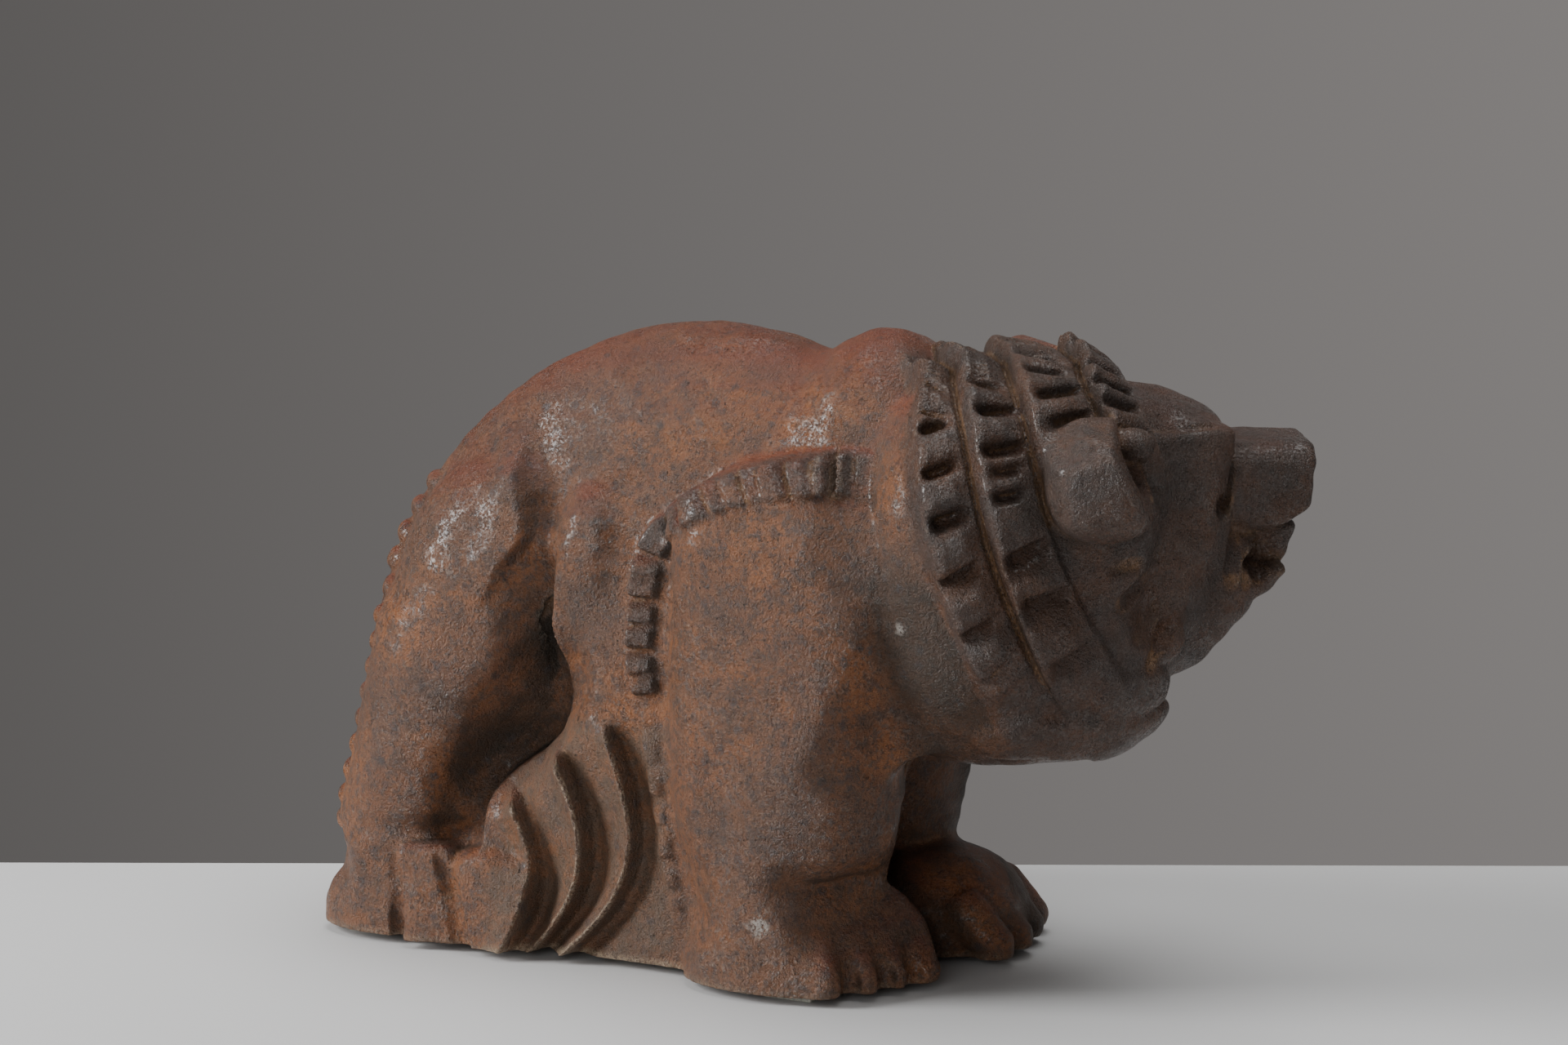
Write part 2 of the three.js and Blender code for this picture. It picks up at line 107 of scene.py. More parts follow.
def colour(name, description, *default):
    return FloatVectorProperty(name=name, description=description, default=default, subtype="COLOR")


class ClaySettings(bpy.types.PropertyGroup):
    grain: amount("Grain", "Step of the clay's grid in millimetres", 1.25, 0.8, 4)
    faces: IntProperty(
        name="Triangles", description="Triangles left in the bear", default=192000, min=20000, max=198000
    )
    slot_depth: amount("Slot depth", "Share of the full depth of the ruff's slots", 1, 0, 1.3)
    waviness: amount("Waviness", "Height in millimetres of the marks left by the hand", 0.9, 0, 3)


class GlazeSettings(bpy.types.PropertyGroup):
    rust: colour("Rust", "Main colour of the glaze", 0.195, 0.078, 0.034)
    umber: colour("Umber", "Grey-brown mottling", 0.08, 0.048, 0.034)
    brick: colour("Brick", "Red of the surfaces that face up", 0.19, 0.042, 0.017)
    iron: colour("Iron", "Brown-black gloss of the tufts and the head", 0.056, 0.042, 0.036)
    ochre: colour("Ochre", "Tan glaze in the grooves", 0.26, 0.14, 0.066)
    ash: colour("Ash", "Pale scars and spots", 0.5, 0.46, 0.41)


class StudioSettings(bpy.types.PropertyGroup):
    azimuth: angle("Azimuth", "Camera angle round the bear", 27)
    elevation: angle("Elevation", "Camera angle above the table", 10.5)
    distance: length("Distance", "From the camera to the bear", 2.0, 0.5)
    table_edge: length("Table edge", "How far the table reaches behind the bear", 0.192, 0)


# Clay


def meet(a, b, k):
    """The union of two distances, rounded over a width of about k."""
    h = np.maximum(k - np.abs(a - b), 0) / k
    return np.minimum(a, b) - h * h * k / 4


def ease(t):
    return (1 - np.cos(np.pi * np.clip(t, 0, 1))) / 2


class Touch:
    """One touch of clay: a shape in its own frame, added or cut away with a soft edge."""

    def __init__(self, distance, frame, half, blend=15, cut=False, middle=(0, 0, 0)):
        self.distance, self.blend, self.cut = distance, blend, cut
        self.inverse = np.array(frame.inverted())[:3]
        turned = np.abs(np.array(frame)[:3, :3]) @ np.array(half, float)
        centre = np.array(frame @ Vector(middle))
        self.low, self.high = centre - turned, centre + turned

    def away(self, points):
        gap = np.maximum(np.maximum(self.low - points, points - self.high), 0)
        return np.sqrt((gap * gap).sum(1))

    def apply(self, d, points):
        reach = self.blend + (-d if self.cut else d)
        near = np.nonzero(self.away(points) <= reach)[0]
        if not len(near):
            return d
        own = self.distance(*(self.inverse[:, :3] @ points[near].T + self.inverse[:, 3:]))
        before = d[near]
        d[near] = -meet(-before, own, self.blend) if self.cut else meet(before, own, self.blend)
        return d


class Clay:
    """A pile of touches, whose distance can be asked for at many points."""

    def __init__(self, touches):
        self.touches = list(touches)

    def __call__(self, points):
        d = np.full(len(points), 1e3)
        low, high = points.min(0), points.max(0)
        middle, half = (low + high) / 2, norm(high - low) / 2
        for touch in self.touches:
            gap = touch.away(middle[None])[0] - half
            if gap > touch.blend + (-d.min() if touch.cut else d.max()):
                continue
            d = touch.apply(d, points)
        return d


def placed(frame, at, turn=(0, 0, 0)):
    """A frame at a point of another frame, turned by degrees about x, then y, then z."""
    return frame @ Matrix.Translation(at) @ Euler([math.radians(a) for a in turn], "XYZ").to_matrix().to_4x4()


def egg_gap(radii, plan, profile):
    a, b, c = radii

    def distance(x, y, z):
        ring = (np.abs(x / a) ** plan + np.abs(y / b) ** plan) ** (1 / plan)
        full = np.maximum((ring**profile + np.abs(z / c) ** profile) ** (1 / profile), 1e-6)
        return np.sqrt(x * x + y * y + z * z) * (full - 1) / full

    return distance


def block_gap(half, rounding):
    def distance(x, y, z):
        q = [np.abs(v) - h + rounding for v, h in zip((x, y, z), half)]
        outside = np.sqrt(sum(np.maximum(v, 0) ** 2 for v in q))
        return outside + np.minimum(np.maximum(np.maximum(q[0], q[1]), q[2]), 0) - rounding

    return distance


def bar_gap(half, section_rounding, end_rounding):
    """A bar along x: a section with round corners, cut off at its ends with a tighter edge."""

    def distance(x, y, z):
        q = [np.abs(v) - h + section_rounding for v, h in zip((y, z), half[1:])]
        section = np.sqrt(np.maximum(q[0], 0) ** 2 + np.maximum(q[1], 0) ** 2)
        section += np.minimum(np.maximum(q[0], q[1]), 0) - section_rounding + end_rounding
        end = np.abs(x) - half[0] + end_rounding
        outside = np.sqrt(np.maximum(section, 0) ** 2 + np.maximum(end, 0) ** 2)
        return outside + np.minimum(np.maximum(section, end), 0) - end_rounding

    return distance


def limb_gap(along, start_radius, end_radius):
    ax, ay, az = along
    length2 = ax * ax + ay * ay + az * az

    def distance(x, y, z):
        t = np.clip((x * ax + y * ay + z * az) / length2, 0, 1)
        gap = np.sqrt((x - t * ax) ** 2 + (y - t * ay) ** 2 + (z - t * az) ** 2)
        return gap - (start_radius + (end_radius - start_radius) * t)

    return distance


class Facets:
    """A shape cut from flat sides, as (point, normal, how much its edges are eased)."""

    def __init__(self, sides):
        self.sides = []
        for point, normal, soft in sides:
            n = Vector(normal).normalized()
            self.sides.append((n, Vector(point).dot(n), soft))

    def __call__(self, x, y, z):
        d = None
        for n, reach, soft in self.sides:
            own = n[0] * x + n[1] * y + n[2] * z - reach
            d = own if d is None else -meet(-d, -own, soft)
        return d


def both(a, b, soft):
    """What two shapes have in common, with a soft edge."""
    return lambda x, y, z: -meet(-a(x, y, z), -b(x, y, z), soft)


def egg(frame, at, radii, blend=15, plan=2, profile=2, turn=(0, 0, 0), cut=False):
    return Touch(egg_gap(radii, plan, profile), placed(frame, at, turn), radii, blend, cut)


def block(frame, at, half, blend=5, rounding=4, turn=(0, 0, 0), cut=False):
    return Touch(block_gap(half, rounding), placed(frame, at, turn), half, blend, cut)


def limb(frame, start, end, start_radius, end_radius, blend=10, cut=False):
    along = Vector(end) - Vector(start)
    radius = max(start_radius, end_radius)
    half = [abs(v) / 2 + radius for v in along]
    shape = limb_gap(along, start_radius, end_radius)
    return Touch(shape, placed(frame, start), half, blend, cut, along / 2)


def slope(clay, points, step=1.0):
    """The outward direction of the clay at points, as unit vectors."""
    parts = []
    for axis in range(3):
        shift = np.zeros(3)
        shift[axis] = step
        parts.append(clay(points + shift) - clay(points - shift))
    out = np.stack(parts, 1)
    return out / np.maximum(norm(out, axis=1, keepdims=True), 1e-9)


def on_skin(clay, frame, starts, ends, along):
    """Frames where lines from outside first meet the clay: x along, y across, z out of the skin."""
    turn = np.array(frame)
    point = np.array(starts, float) @ turn[:3, :3].T + turn[:3, 3]
    goal = np.array(ends, float) @ turn[:3, :3].T + turn[:3, 3]
    heading = goal - point
    heading /= norm(heading, axis=1, keepdims=True)
    for _ in range(60):
        point = point + 0.8 * clay(point)[:, None] * heading
    out = slope(clay, point)
    run = np.array([along] * len(point), float) @ turn[:3, :3].T
    run -= (run * out).sum(1, keepdims=True) * out
    run /= norm(run, axis=1, keepdims=True)
    rows = np.stack([run, np.cross(out, run), out, point], 2)
    return [Matrix([*own, (0, 0, 0, 1)]) for own in rows.tolist()]


def run_along(points):
    return np.concatenate([[0], np.cumsum(norm(np.diff(points, axis=0), axis=1))])


def side_curve(points, count):
    """A smooth curve in a side view, as evenly spaced places with their headings."""
    p = np.array(points, float)
    p = np.vstack([p[0], p, p[-1]])
    fine = []
    for i in range(1, len(p) - 2):
        for t in np.arange(0, 1, 0.02):
            a, b, c, d = p[i - 1 : i + 3]
            v0, v1 = (c - a) * 0.5, (d - b) * 0.5
            fine.append(
                (2 * b - 2 * c + v0 + v1) * t**3 + (-3 * b + 3 * c - 2 * v0 - v1) * t * t + v0 * t + b
            )
    fine = np.array(fine + [p[-1]])
    run = run_along(fine)
    at = np.linspace(0, run[-1], count)
    place, ahead, behind = (
        np.stack([np.interp(at + shift, run, fine[:, k]) for k in (0, 1)], 1) for shift in (0, 1, -1)
    )
    heading = ahead - behind
    return place, heading / norm(heading, axis=1, keepdims=True)


def trunk():
    return [
        egg(BODY, (-84, 0, 125), (198, 86, 202), plan=2.8, profile=1.9, blend=1),
        block(BODY, (-75, 0, 64), (112, 80, 76), blend=10, rounding=12),
        egg(BODY, (95, 0, 40), (110, 130, 95), blend=14, cut=True),
        egg(BODY, (18, 0, 225), (60, 68, 103), blend=14),
        egg(BODY, (64, -2, 200), (76, 76, 86), blend=24),
    ]


# The right and the left front leg: how far forward, and the paw's place, turn outwards and radii.
FRONT_LEGS = ((-9, (24, 50, 0), 31, (48, 45, 46)), (-28, (36, 50, 0), 10, (52, 49, 46)))


def front_leg(flank, x, paw_at, toe_out, paw_radii):
    paw = placed(flank, paw_at, (0, 0, toe_out))
    return [
        egg(flank, (x, 62, 150), (57, 46, 116), blend=8, plan=2.8, profile=3),
        limb(flank, (x - 2, 62, 92), (x + 2, 62, 12), 43, 43, blend=14),
        egg(flank, (x + 2, 68, 0), (51, 38, 44), blend=8, plan=2.6),
        egg(paw, (-14, 0, 4), paw_radii, blend=8, plan=2.5, profile=2.2),
    ]


def hind_leg(flank):
    leg = [
        egg(flank, (-150, 44, 186), (38, 42, 52), blend=8),
        egg(flank, (-188, 50, 180), (56, 46, 80), blend=12, turn=(0, 14, 0)),
        limb(flank, (-208, 54, 150), (-242, 54, 56), 47, 37, blend=12),
        egg(flank, (-212, 56, 4), (74, 36, 50), blend=6, plan=3.2),
    ]
    for x, out, size in ((-252, 70, 20), (-213, 81, 16), (-182, 80, 15), (-158, 74, 12)):
        leg.append(limb(flank, (x, out - 5, 34), (x - 2, out, -2), size, size, blend=3))
    return leg


def hollow(flank):
    """The deep hollow between the hind leg, the belly and the rock."""
    return [egg(flank, (-164, 98, 122), (28, 34, 74), blend=6, turn=(0, 38, 0), cut=True)]


def haunch_folds(flank):
    """The fold in front of the thigh, and the hollow behind the belly."""
    return [
        limb(flank, (-171, 46, 258), (-164, 62, 238), 14, 15, blend=8),
        limb(flank, (-164, 64, 238), (-166, 72, 208), 15, 18, blend=8),
        egg(flank, (-118, 62, 206), (22, 26, 40), blend=10),
        egg(flank, (-152, 90, 116), (24, 26, 58), blend=14, turn=(0, 36, 0), cut=True),
    ]


def foot_lobes(flank):
    """The hind foot, boxy, with grooves between its lobes."""
    return [
        block(flank, (-243, 70, 20), (18, 19, 29), rounding=10, blend=4),
        block(flank, (-212, 74, 21), (18, 19, 30), rounding=9, blend=3),
        egg(flank, (-174, 75, 20), (26, 20, 33), blend=4, plan=2.6, profile=2.8),
        limb(flank, (-229, 91, 42), (-225, 92, -2), 3, 6, blend=2, cut=True),
        limb(flank, (-200, 92, 48), (-193, 94, 30), 3.5, 6, blend=2, cut=True),
        limb(flank, (-193, 94, 30), (-186, 96, -2), 6, 8, blend=1.5, cut=True),
    ]


# The toes of each front paw and the grooves between them, as (outwards, forward, radius).
TOES = (
    (
        ((33, 20, 13), (12, 24, 11), (-7, 25, 10), (-25, 22, 11)),
        ((22.5, 24, 5), (2, 26, 5), (-15.5, 25, 4.5)),
    ),
    (
        ((-36, 26, 13), (-13, 31, 12), (12, 31, 12), (36, 26, 13)),
        ((-25, 32, 3.5), (0, 34, 3.5), (25, 32, 3.5)),
    ),
)


def leg_planes():
    """The raised shoulder, the breast beside the leg, and the paws with grooves between their toes."""
    touches = []
    for flank, (x, *_) in zip(FLANKS, FRONT_LEGS):
        touches += [
            egg(flank, (x - 26, 78, 222), (26, 26, 26), blend=12),
            egg(flank, (x, 74, 222), (44, 27, 34), blend=12),
            egg(flank, (x + 42, 51, 190), (46, 41, 76), blend=12),
            limb(flank, (x + 24, 60, 118), (x + 21, 60, 66), 38, 35, blend=12),
            egg(flank, (x + 34, 122, 74), (18, 18, 18), blend=14, cut=True),
            egg(flank, (x - 16, 118, 84), (12, 13, 34), blend=14, cut=True),
        ]
    for flank, (_, at, toe_out, _), (toes, grooves) in zip(FLANKS, FRONT_LEGS, TOES):
        paw = placed(flank, at, (0, 0, toe_out))
        if flank is not BODY:
            # the near paw falls more steeply in front
            touches.append(block(paw, (58, 0, 10), (24, 70, 60), blend=16, turn=(0, -24, 0), cut=True))
        for y, x, size in toes:
            touches.append(limb(paw, (x - 12, y * 0.96, 21), (x + 2, y, 5), size, size - 1, blend=2.5))
        for y, x, size in grooves:
            marks = [(x - 1, y * 0.98, 37), (x + 6, y, 22), (x + 10, y, -3)]
            for start, end in zip(marks, marks[1:]):
                touches.append(limb(paw, start, end, size, size * 1.2, blend=2, cut=True))
    return touches


RIDGES = (
    dict(front=-147, height=42, bow=0.0105, low_bow=0.0075, top=80, rise=6.5),
    dict(front=-116, height=60, bow=0.0072, low_bow=0.0088, top=104, rise=8),
    dict(front=-86, height=70, bow=0.005, low_bow=0.0088, top=122, rise=7),
)


def flutes(p):
    """The height of the fluted ridges of the rock, which lie like nested brackets."""
    height = np.zeros(len(p))
    near = np.nonzero((np.abs(p[:, 1]) > 55) & (p[:, 0] > -200) & (p[:, 0] < -50) & (p[:, 2] < 128))[0]
    x, z = p[near, 0], p[near, 2]
    total = np.zeros(len(near))
    for ridge in RIDGES:
        off = z - ridge["height"]
        ahead = x - (ridge["front"] - np.where(off > 0, ridge["bow"], ridge["low_bow"]) * off**2)
        fade = ease((ridge["top"] + 8 - z) / 14) * ridge["rise"]
        behind = 0.75 * ease(1 + ahead / 16) + 0.25 * ease(1 + ahead / 4)
        before = 1 - 1.75 * ease((ahead + 0.5) / 4.5) + 0.75 * ease((ahead - 5) / 15)
        total += fade * np.where(ahead < 0, behind, before)
    height[near] = total
    return height


class Sweep:
    """Relief that follows a curve in the side view, on the parts of the flanks beyond a breadth.

    A profile gives its height from how far along the curve a point is and how far out. Out is to the
    right of the way the curve runs, in a view with x to the right and z up. A side of -1 is the right.
    """

    def __init__(self, points, count, margin, breadth, side=0):
        self.place, self.heading = side_curve(points, count)
        self.run = run_along(self.place)
        self.low, self.high = self.place.min(0) - margin, self.place.max(0) + margin
        self.breadth, self.side = breadth, side

    def height(self, p, at_once=20000):
        total = np.zeros(len(p))
        flat = p[:, (0, 2)]
        beyond = (p[:, 1] * self.side if self.side else np.abs(p[:, 1])) > self.breadth
        near = np.nonzero(beyond & (flat > self.low).all(1) & (flat < self.high).all(1))[0]
        for start in range(0, len(near), at_once):
            some = near[start : start + at_once]
            at = flat[some]
            nearest = ((at[:, None] - self.place[None]) ** 2).sum(2).argmin(1)
            gap, ahead = at - self.place[nearest], self.heading[nearest]
            along = self.run[nearest] + (gap * ahead).sum(1)
            out = ahead[:, 1] * gap[:, 0] - ahead[:, 0] * gap[:, 1]
            total[some] = self.profile(nearest, gap, along, out)
        return total


class Crease(Sweep):
    """A crisp edge: the skin swells up to it, then drops on the outer side and recovers.

    Each point is (x, z, share of the full height there).
    """

    def __init__(self, points, swell, drop, steep, fades, side=0):
        count = 90
        super().__init__([p[:2] for p in points], count, max(fades), 40, side)
        shares = [p[2] for p in points]
        self.share = np.interp(np.linspace(0, len(points) - 1, count), range(len(points)), shares)
        self.swell, self.drop, self.steep, self.fades = swell, drop, steep, fades

    def profile(self, nearest, gap, along, out):
        out = np.sign(out) * np.hypot(gap[:, 0], gap[:, 1])
        level = self.swell * ease(1 + out / self.fades[0])
        level -= (self.swell + self.drop) * ease(out / self.steep)
        level += self.drop * ease((out - self.steep) / self.fades[1])
        level *= ease((along + 8) / 12) * ease((self.run[-1] + 8 - along) / 12)
        return level * self.share[nearest]


class Band(Sweep):
    """A raised band, cut across into a row of tufts.

    Each cut is (x, z, depth, length of the slope up from it). Lean slants the cuts of the first half.
    """

    def __init__(self, points, cuts, half, rise, lean=0.0):
        super().__init__(points, 150, 16, 45)
        self.half, self.rise, self.lean = half, rise, lean
        self.cuts = []
        for x, z, deep, ramp in cuts:
            gap = ((self.place - (x, z)) ** 2).sum(1)
            self.cuts.append((self.run[gap.argmin()], deep, ramp))

    def profile(self, nearest, gap, along, out):
        share = along / self.run[-1]
        half = self.half[0] + (self.half[1] - self.half[0]) * np.clip(share, 0, 1)
        across = 0.6 * ease((out + half + 1) / 5) + 0.4 * ease((out + half) / (2 * half))
        rim = ease((half + 1 - out) / 3.5) * across
        rim *= ease((along + 4) / 22) * ease((self.run[-1] + 4 - along) / 14)
        dip = np.zeros(len(out))
        lean = 0.04 - self.lean * ease((0.5 - share) / 0.12)
        for place, deep, ramp in self.cuts:
            t = along - place + lean * out
            dip = np.maximum(dip, deep * np.where(t < 0, ease(1 + t / 2.2), ease(1 - t / ramp)))
        return rim * self.rise - ease((half + 2 - np.abs(out)) / 3) * dip * rim


THIGH_RIDGE = Crease(
    ((-172, 186, 0.2), (-162, 204, 0.7), (-152, 219, 1), (-155, 236, 1), (-162, 252, 1), (-166, 266, 0.4)),
    swell=3.5, drop=1.5, steep=6, fades=(24, 26),
)
# The edge of the belly and of the rock over the hollow.
HOLLOW_EDGE = Crease(
    (
        (-129, 208, 0.2), (-131, 192, 0.6), (-133, 172, 0.9), (-132, 152, 1), (-130, 134, 0.75),
        (-135, 118, 0.6), (-148, 104, 0.7), (-165, 92, 0.9), (-176, 80, 0.9), (-178, 66, 0.8),
        (-178, 56, 0.5),
    ),
    swell=2.5, drop=15, steep=5, fades=(16, 32),
)
HIND_FOOT_TOP = Crease(
    ((-166, 54, 0.4), (-182, 56, 0.8), (-205, 53, 1), (-229, 51, 1), (-252, 48, 1), (-266, 44, 0.8)),
    swell=1, drop=1.5, steep=6, fades=(12, 16),
)
# The soft ridge down the near front leg.
LEG_RIDGE = Crease(
    ((10, 104, 0.5), (24, 128, 1), (35, 152, 1), (41, 178, 1), (40, 202, 0.5)),
    swell=2, drop=2, steep=20, fades=(24, 30), side=-1,
)
CREASES = (THIGH_RIDGE, HOLLOW_EDGE, HIND_FOOT_TOP, LEG_RIDGE)


def haunch_beads(clay, flank, count=14):
    """A row of beads down the back edge of the haunch."""
    z = np.linspace(238, 54, count)
    out = 46 + 23 * ease((208 - z) / 40)
    starts = np.stack([np.full(count, -400.0), out, z], 1)
    ends = np.stack([np.full(count, -200.0), out - 12, z], 1)
    places = on_skin(clay, flank, starts, ends, (0, 0, 1))
    return [egg(place, (0, 0, -1.5), (7, 10.5, 6), blend=1.5) for place in places]


def skull():
    touches = [
        egg(HEAD, (-8, 0, -3), (84, 82, 100), plan=2.8, profile=2.8, blend=1),
        egg(HEAD, (32, 0, -20), (38, 74, 70), plan=2.4, blend=10),
        block(HEAD, (52, 0, 38), (42, 44, 40), rounding=20, blend=10),
        egg(HEAD, (50, 0, 42), (50, 40, 45), blend=5, profile=3, turn=(0, 8, 0)),
        limb(HEAD, (52, 0, -2), (88, 0, -12), 60, 35, blend=10),
        limb(HEAD, (60, 0, -24), (98, 0, -21), 46, 24, blend=6),
        egg(HEAD, (94, 0, 0), (24, 30, 26), blend=8, plan=2.5),
    ]
    for cheek in CHEEKS:
        touches += [
            block(cheek, (60, 28, 37), (34, 14, 39), rounding=5, blend=5, turn=(0, 0, -15)),
            limb(cheek, (47, 41, 79), (66, 36, 78.5), 3, 3, blend=1.5, cut=True),
            limb(cheek, (66, 36, 78.5), (84, 31, 77), 3, 3, blend=1.5, cut=True),
            limb(cheek, (70, 66, 40), (58, 78, -8), 17, 20, blend=10, cut=True),
        ]
    half = (47.5, 26, 23)
    snout = both(bar_gap(half, 12, 4), Facets([((44.5, -26, 0), (1, -0.13, 0), 3)]), 4)
    touches += [
        # the far brow is rounder than the near one
        block(HEAD, (99, 57, 78), (40, 60, 46), blend=14, turn=(0, -8, 51), cut=True),
        Touch(snout, placed(HEAD, (94.5, 0, 39), (-3, 1.5, 0)), half, blend=2.5),
        block(HEAD, (135.5, 0, 3), (20, 60, 26), rounding=2, blend=2.5, turn=(0, 50.8, 0), cut=True),
        limb(HEAD, (104, 0, -14), (80, 0, -36), 17, 26, blend=10),
        block(HEAD, (109, 0, -10), (27, 25, 9), rounding=5),
        block(HEAD, (113, 8, 5), (23, 19, 14), blend=4),
        block(HEAD, (126.5, 0, -42), (20, 60, 50), blend=9, turn=(0, 37.2, 0), cut=True),
        egg(HEAD, (128, -33, 9), (18, 20, 13), blend=3, turn=(0, -20, 0), cut=True),
        egg(HEAD, (137, 0, 5), (5, 14, 6), blend=2, cut=True),
    ]
    for cheek in CHEEKS:
        touches += [
            block(cheek, (94.5, 33, 46), (2.2, 9, 16), rounding=2, blend=1, turn=(0, 5, 0), cut=True),
            egg(cheek, (90.5, 37, 36), (5, 9, 7), blend=1.5, cut=True),
            limb(cheek, (99, 34, 15), (98, 37, -10), 3.5, 3.5, blend=1, cut=True),
            limb(cheek, (106, 32, 6), (107, 33, -8), 3.5, 3.5, blend=1, cut=True),
        ]
    return touches


def beard(head):
    """The lobes under the cheeks and the chin, and the cuts in the cheeks."""
    # Each lobe: its place as (forward, angle from the crown), length, width and how far it stands up.
    lobes = (
        (-14, 140, 26, 17, 4), (16, 141, 26, 18, 5), (42, 131, 22, 17, 4), (44, 148, 26, 17, 6),
        (60, 119, 12, 12, 3),
    )
    # Each cut: where it starts and ends, as (forward, angle), and its depth.
    cuts = (
        (24, 83, 40, 82, 1.2), (29, 97, 45, 91, 1.6), (40, 112, 52, 107, 1.6), (48, 121, 57, 115, 1.4),
        (99, 77, 97, 119, 1.1), (107, 92, 105, 120, 1.1), (112, 108, 111, 122, 1.1),
    )
    radius, far_out = 6.5, 260
    touches = []
    for cheek in CHEEKS:

        def skin(places):
            """Frames on the skin of the head at places given as (forward, angle)."""
            starts, ends = [], []
            for forward, angle in places:
                turn = math.radians(angle)
                starts.append((forward, far_out * math.sin(turn), 10 + far_out * math.cos(turn)))
                ends.append((forward, 0, 10))
            return on_skin(head, cheek, starts, ends, (1, 0, 0))

        for place, (*_, length, width, rise) in zip(skin([lobe[:2] for lobe in lobes]), lobes):
            touches.append(egg(place, (0, 0, -3), (length, width, 3 + rise), blend=2, profile=2.4))
        for f0, a0, f1, a1, deep in cuts:
            a, b = (m.translation + (radius - deep) * m.col[2].to_3d() for m in skin([(f0, a0), (f1, a1)]))
            touches.append(limb(BODY, a, b, radius, radius, blend=1, cut=True))
    return touches


# An edge between two bands of the ruff is furthest back at an angle from the crown, and sweeps
# forward from there by so much per square degree.
EDGES = ((-75, 48, 0.0061), (-48.5, 32, 0.0051), (-20, 22, 0.0055), (16, 18, 0.012), (42, 5, 0.006))
# Each band: how far it stands up, its height at the front as a share of that, the angle it fades out
# at, and its slots: where one starts and ends, as (forward, angle), its depth and its slope's length.
BANDS = (
    (8.5, 0.5, 134, (
        (-61, 10, -51, 16, 3, 4), (-68, 24, -51, 29, 4, 5), (-69, 33, -52, 30, 6.5, 6.5),
        (-70, 49, -52, 46, 6.5, 7), (-67, 65, -48, 61, 7, 13), (-64, 87, -43, 79, 7, 17),
        (-53, 104, -35, 98, 6, 17), (-43, 122, -30, 114, 4, 16),
    )),
    (9, 0.45, 138, (
        (-44, 17, -22, 20, 4, 5), (-42, 31, -18, 29, 6.5, 7), (-42, 45, -17, 42, 7, 7),
        (-38, 52, -21, 50, 4.5, 4.5), (-38, 59, -21, 57, 6, 6), (-32, 78, -7, 71, 7, 18),
        (-23, 92, 5, 88, 6, 18), (-6, 112, 20, 106, 4, 18),
    )),
    (9, 0.7, 56, (
        (-13, -1, 12, 4, 4, 6), (-12, 13, 10, 13, 4, 7), (-11, 27, 15, 21, 6, 7), (-7, 38, 17, 32, 6, 6),
    )),
    (11, 0.8, 54, (
        (16, -4, 40, -4, 4, 9), (17, 9, 41, 10, 4, 9), (17, 21, 42, 20, 5, 8), (18, 31, 43, 28, 5, 8),
        (20, 42, 44, 39, 5, 7),
    )),
)
MM_PER_DEGREE = 1.5


def edge_at(i, angle):
    back, turn, sweep = EDGES[i]
    return back + sweep * (angle - turn) ** 2


def around(v, u):
    """The angle from the crown, in degrees, the same on both sides."""
    return np.degrees(np.arctan2(np.abs(v), u - 10))


def ruff(f, v, u, depth_share):
    """The height of the ruff over the bare head."""
    angle = around(v, u)
    height = np.zeros(len(f))
    for i, (rise, front_share, ends, slots) in enumerate(BANDS):
        is_collar, is_last = i < 2, i == len(BANDS) - 1
        rear, front = edge_at(i, angle), edge_at(i + 1, angle)
        across = np.clip((f - rear) / (front - rear), 0, 1)
        fall = 1 - (1 - front_share) * ease(across * 1.1 - 0.1)
        fall += 0.25 * ease((f - rear) / 5) * ease((12 - f + rear) / 7)
        bank = ease((f - rear) / 4.5) * fall * ease((front + 1 - f) / (2.5 if is_last else 3.5))
        bank *= ease((ends - angle) / (30 if is_collar else 7))
        dip = np.zeros(len(f))
        nearest = np.full(len(f), 30.0)
        for f0, a0, f1, a1, deep, ramp in slots:
            length = f1 - f0
            run = (f - f0) / length
            below = MM_PER_DEGREE * (angle - (a0 + (a1 - a0) * run))
            nearest = np.minimum(nearest, np.abs(below - 2))
            slot = np.where(below < 0, ease(1 + below / 2), ease(1 - below / ramp) ** 0.8)
            ends_soft = ease((run * length + 2) / 8) * ease(((1 - run) * length + 2) / 8)
            dip = np.maximum(dip, deep * slot * ends_soft)
        wrinkle = 0.7 * np.sin(angle * MM_PER_DEGREE * 1.75) * ease((26 - angle) / 10) if is_collar else 0
        pillow = 3.0 * ease(nearest / 9) * ease(across / 0.35) * ease((1 - across) / 0.4)
        relief = (wrinkle + pillow - dip * depth_share) * np.minimum(bank * 1.6, 1)
        inside = (f >= rear) & (f <= front + 1) & (angle < 150)
        height += np.where(inside, bank * rise + relief, 0)
    return height


def ears():
    """Rounded knobs with a flat top that falls to the back, cupped in front."""
    touches = []
    for cheek in CHEEKS:
        root = placed(cheek, (16, 84, 68))
        sides = Facets((
            ((-7, 23, 19), (-0.5, 0.14, 0.86), 2),
            ((-7, 23, 19), (0.05, 0.14, 1), 2),
            ((-7, 24, 2), (-0.15, 1, 0.12), 5),
            ((13, 5, 5), (0.81, 0.26, 0.52), 1.5),
        ))
        cup = placed(cheek, (29, 89, 73), (0, -31.3, 17.8))
        touches += [
            Touch(both(egg_gap((28, 29, 31), 2.5, 2.5), sides, 2.5), root, (28, 30, 31), blend=3),
            egg(cup, (2, -7, -5), (9, 13, 16), blend=1, cut=True),
            egg(cheek, (33, 72, 81), (11, 9, 8), blend=2),
        ]
    return touches


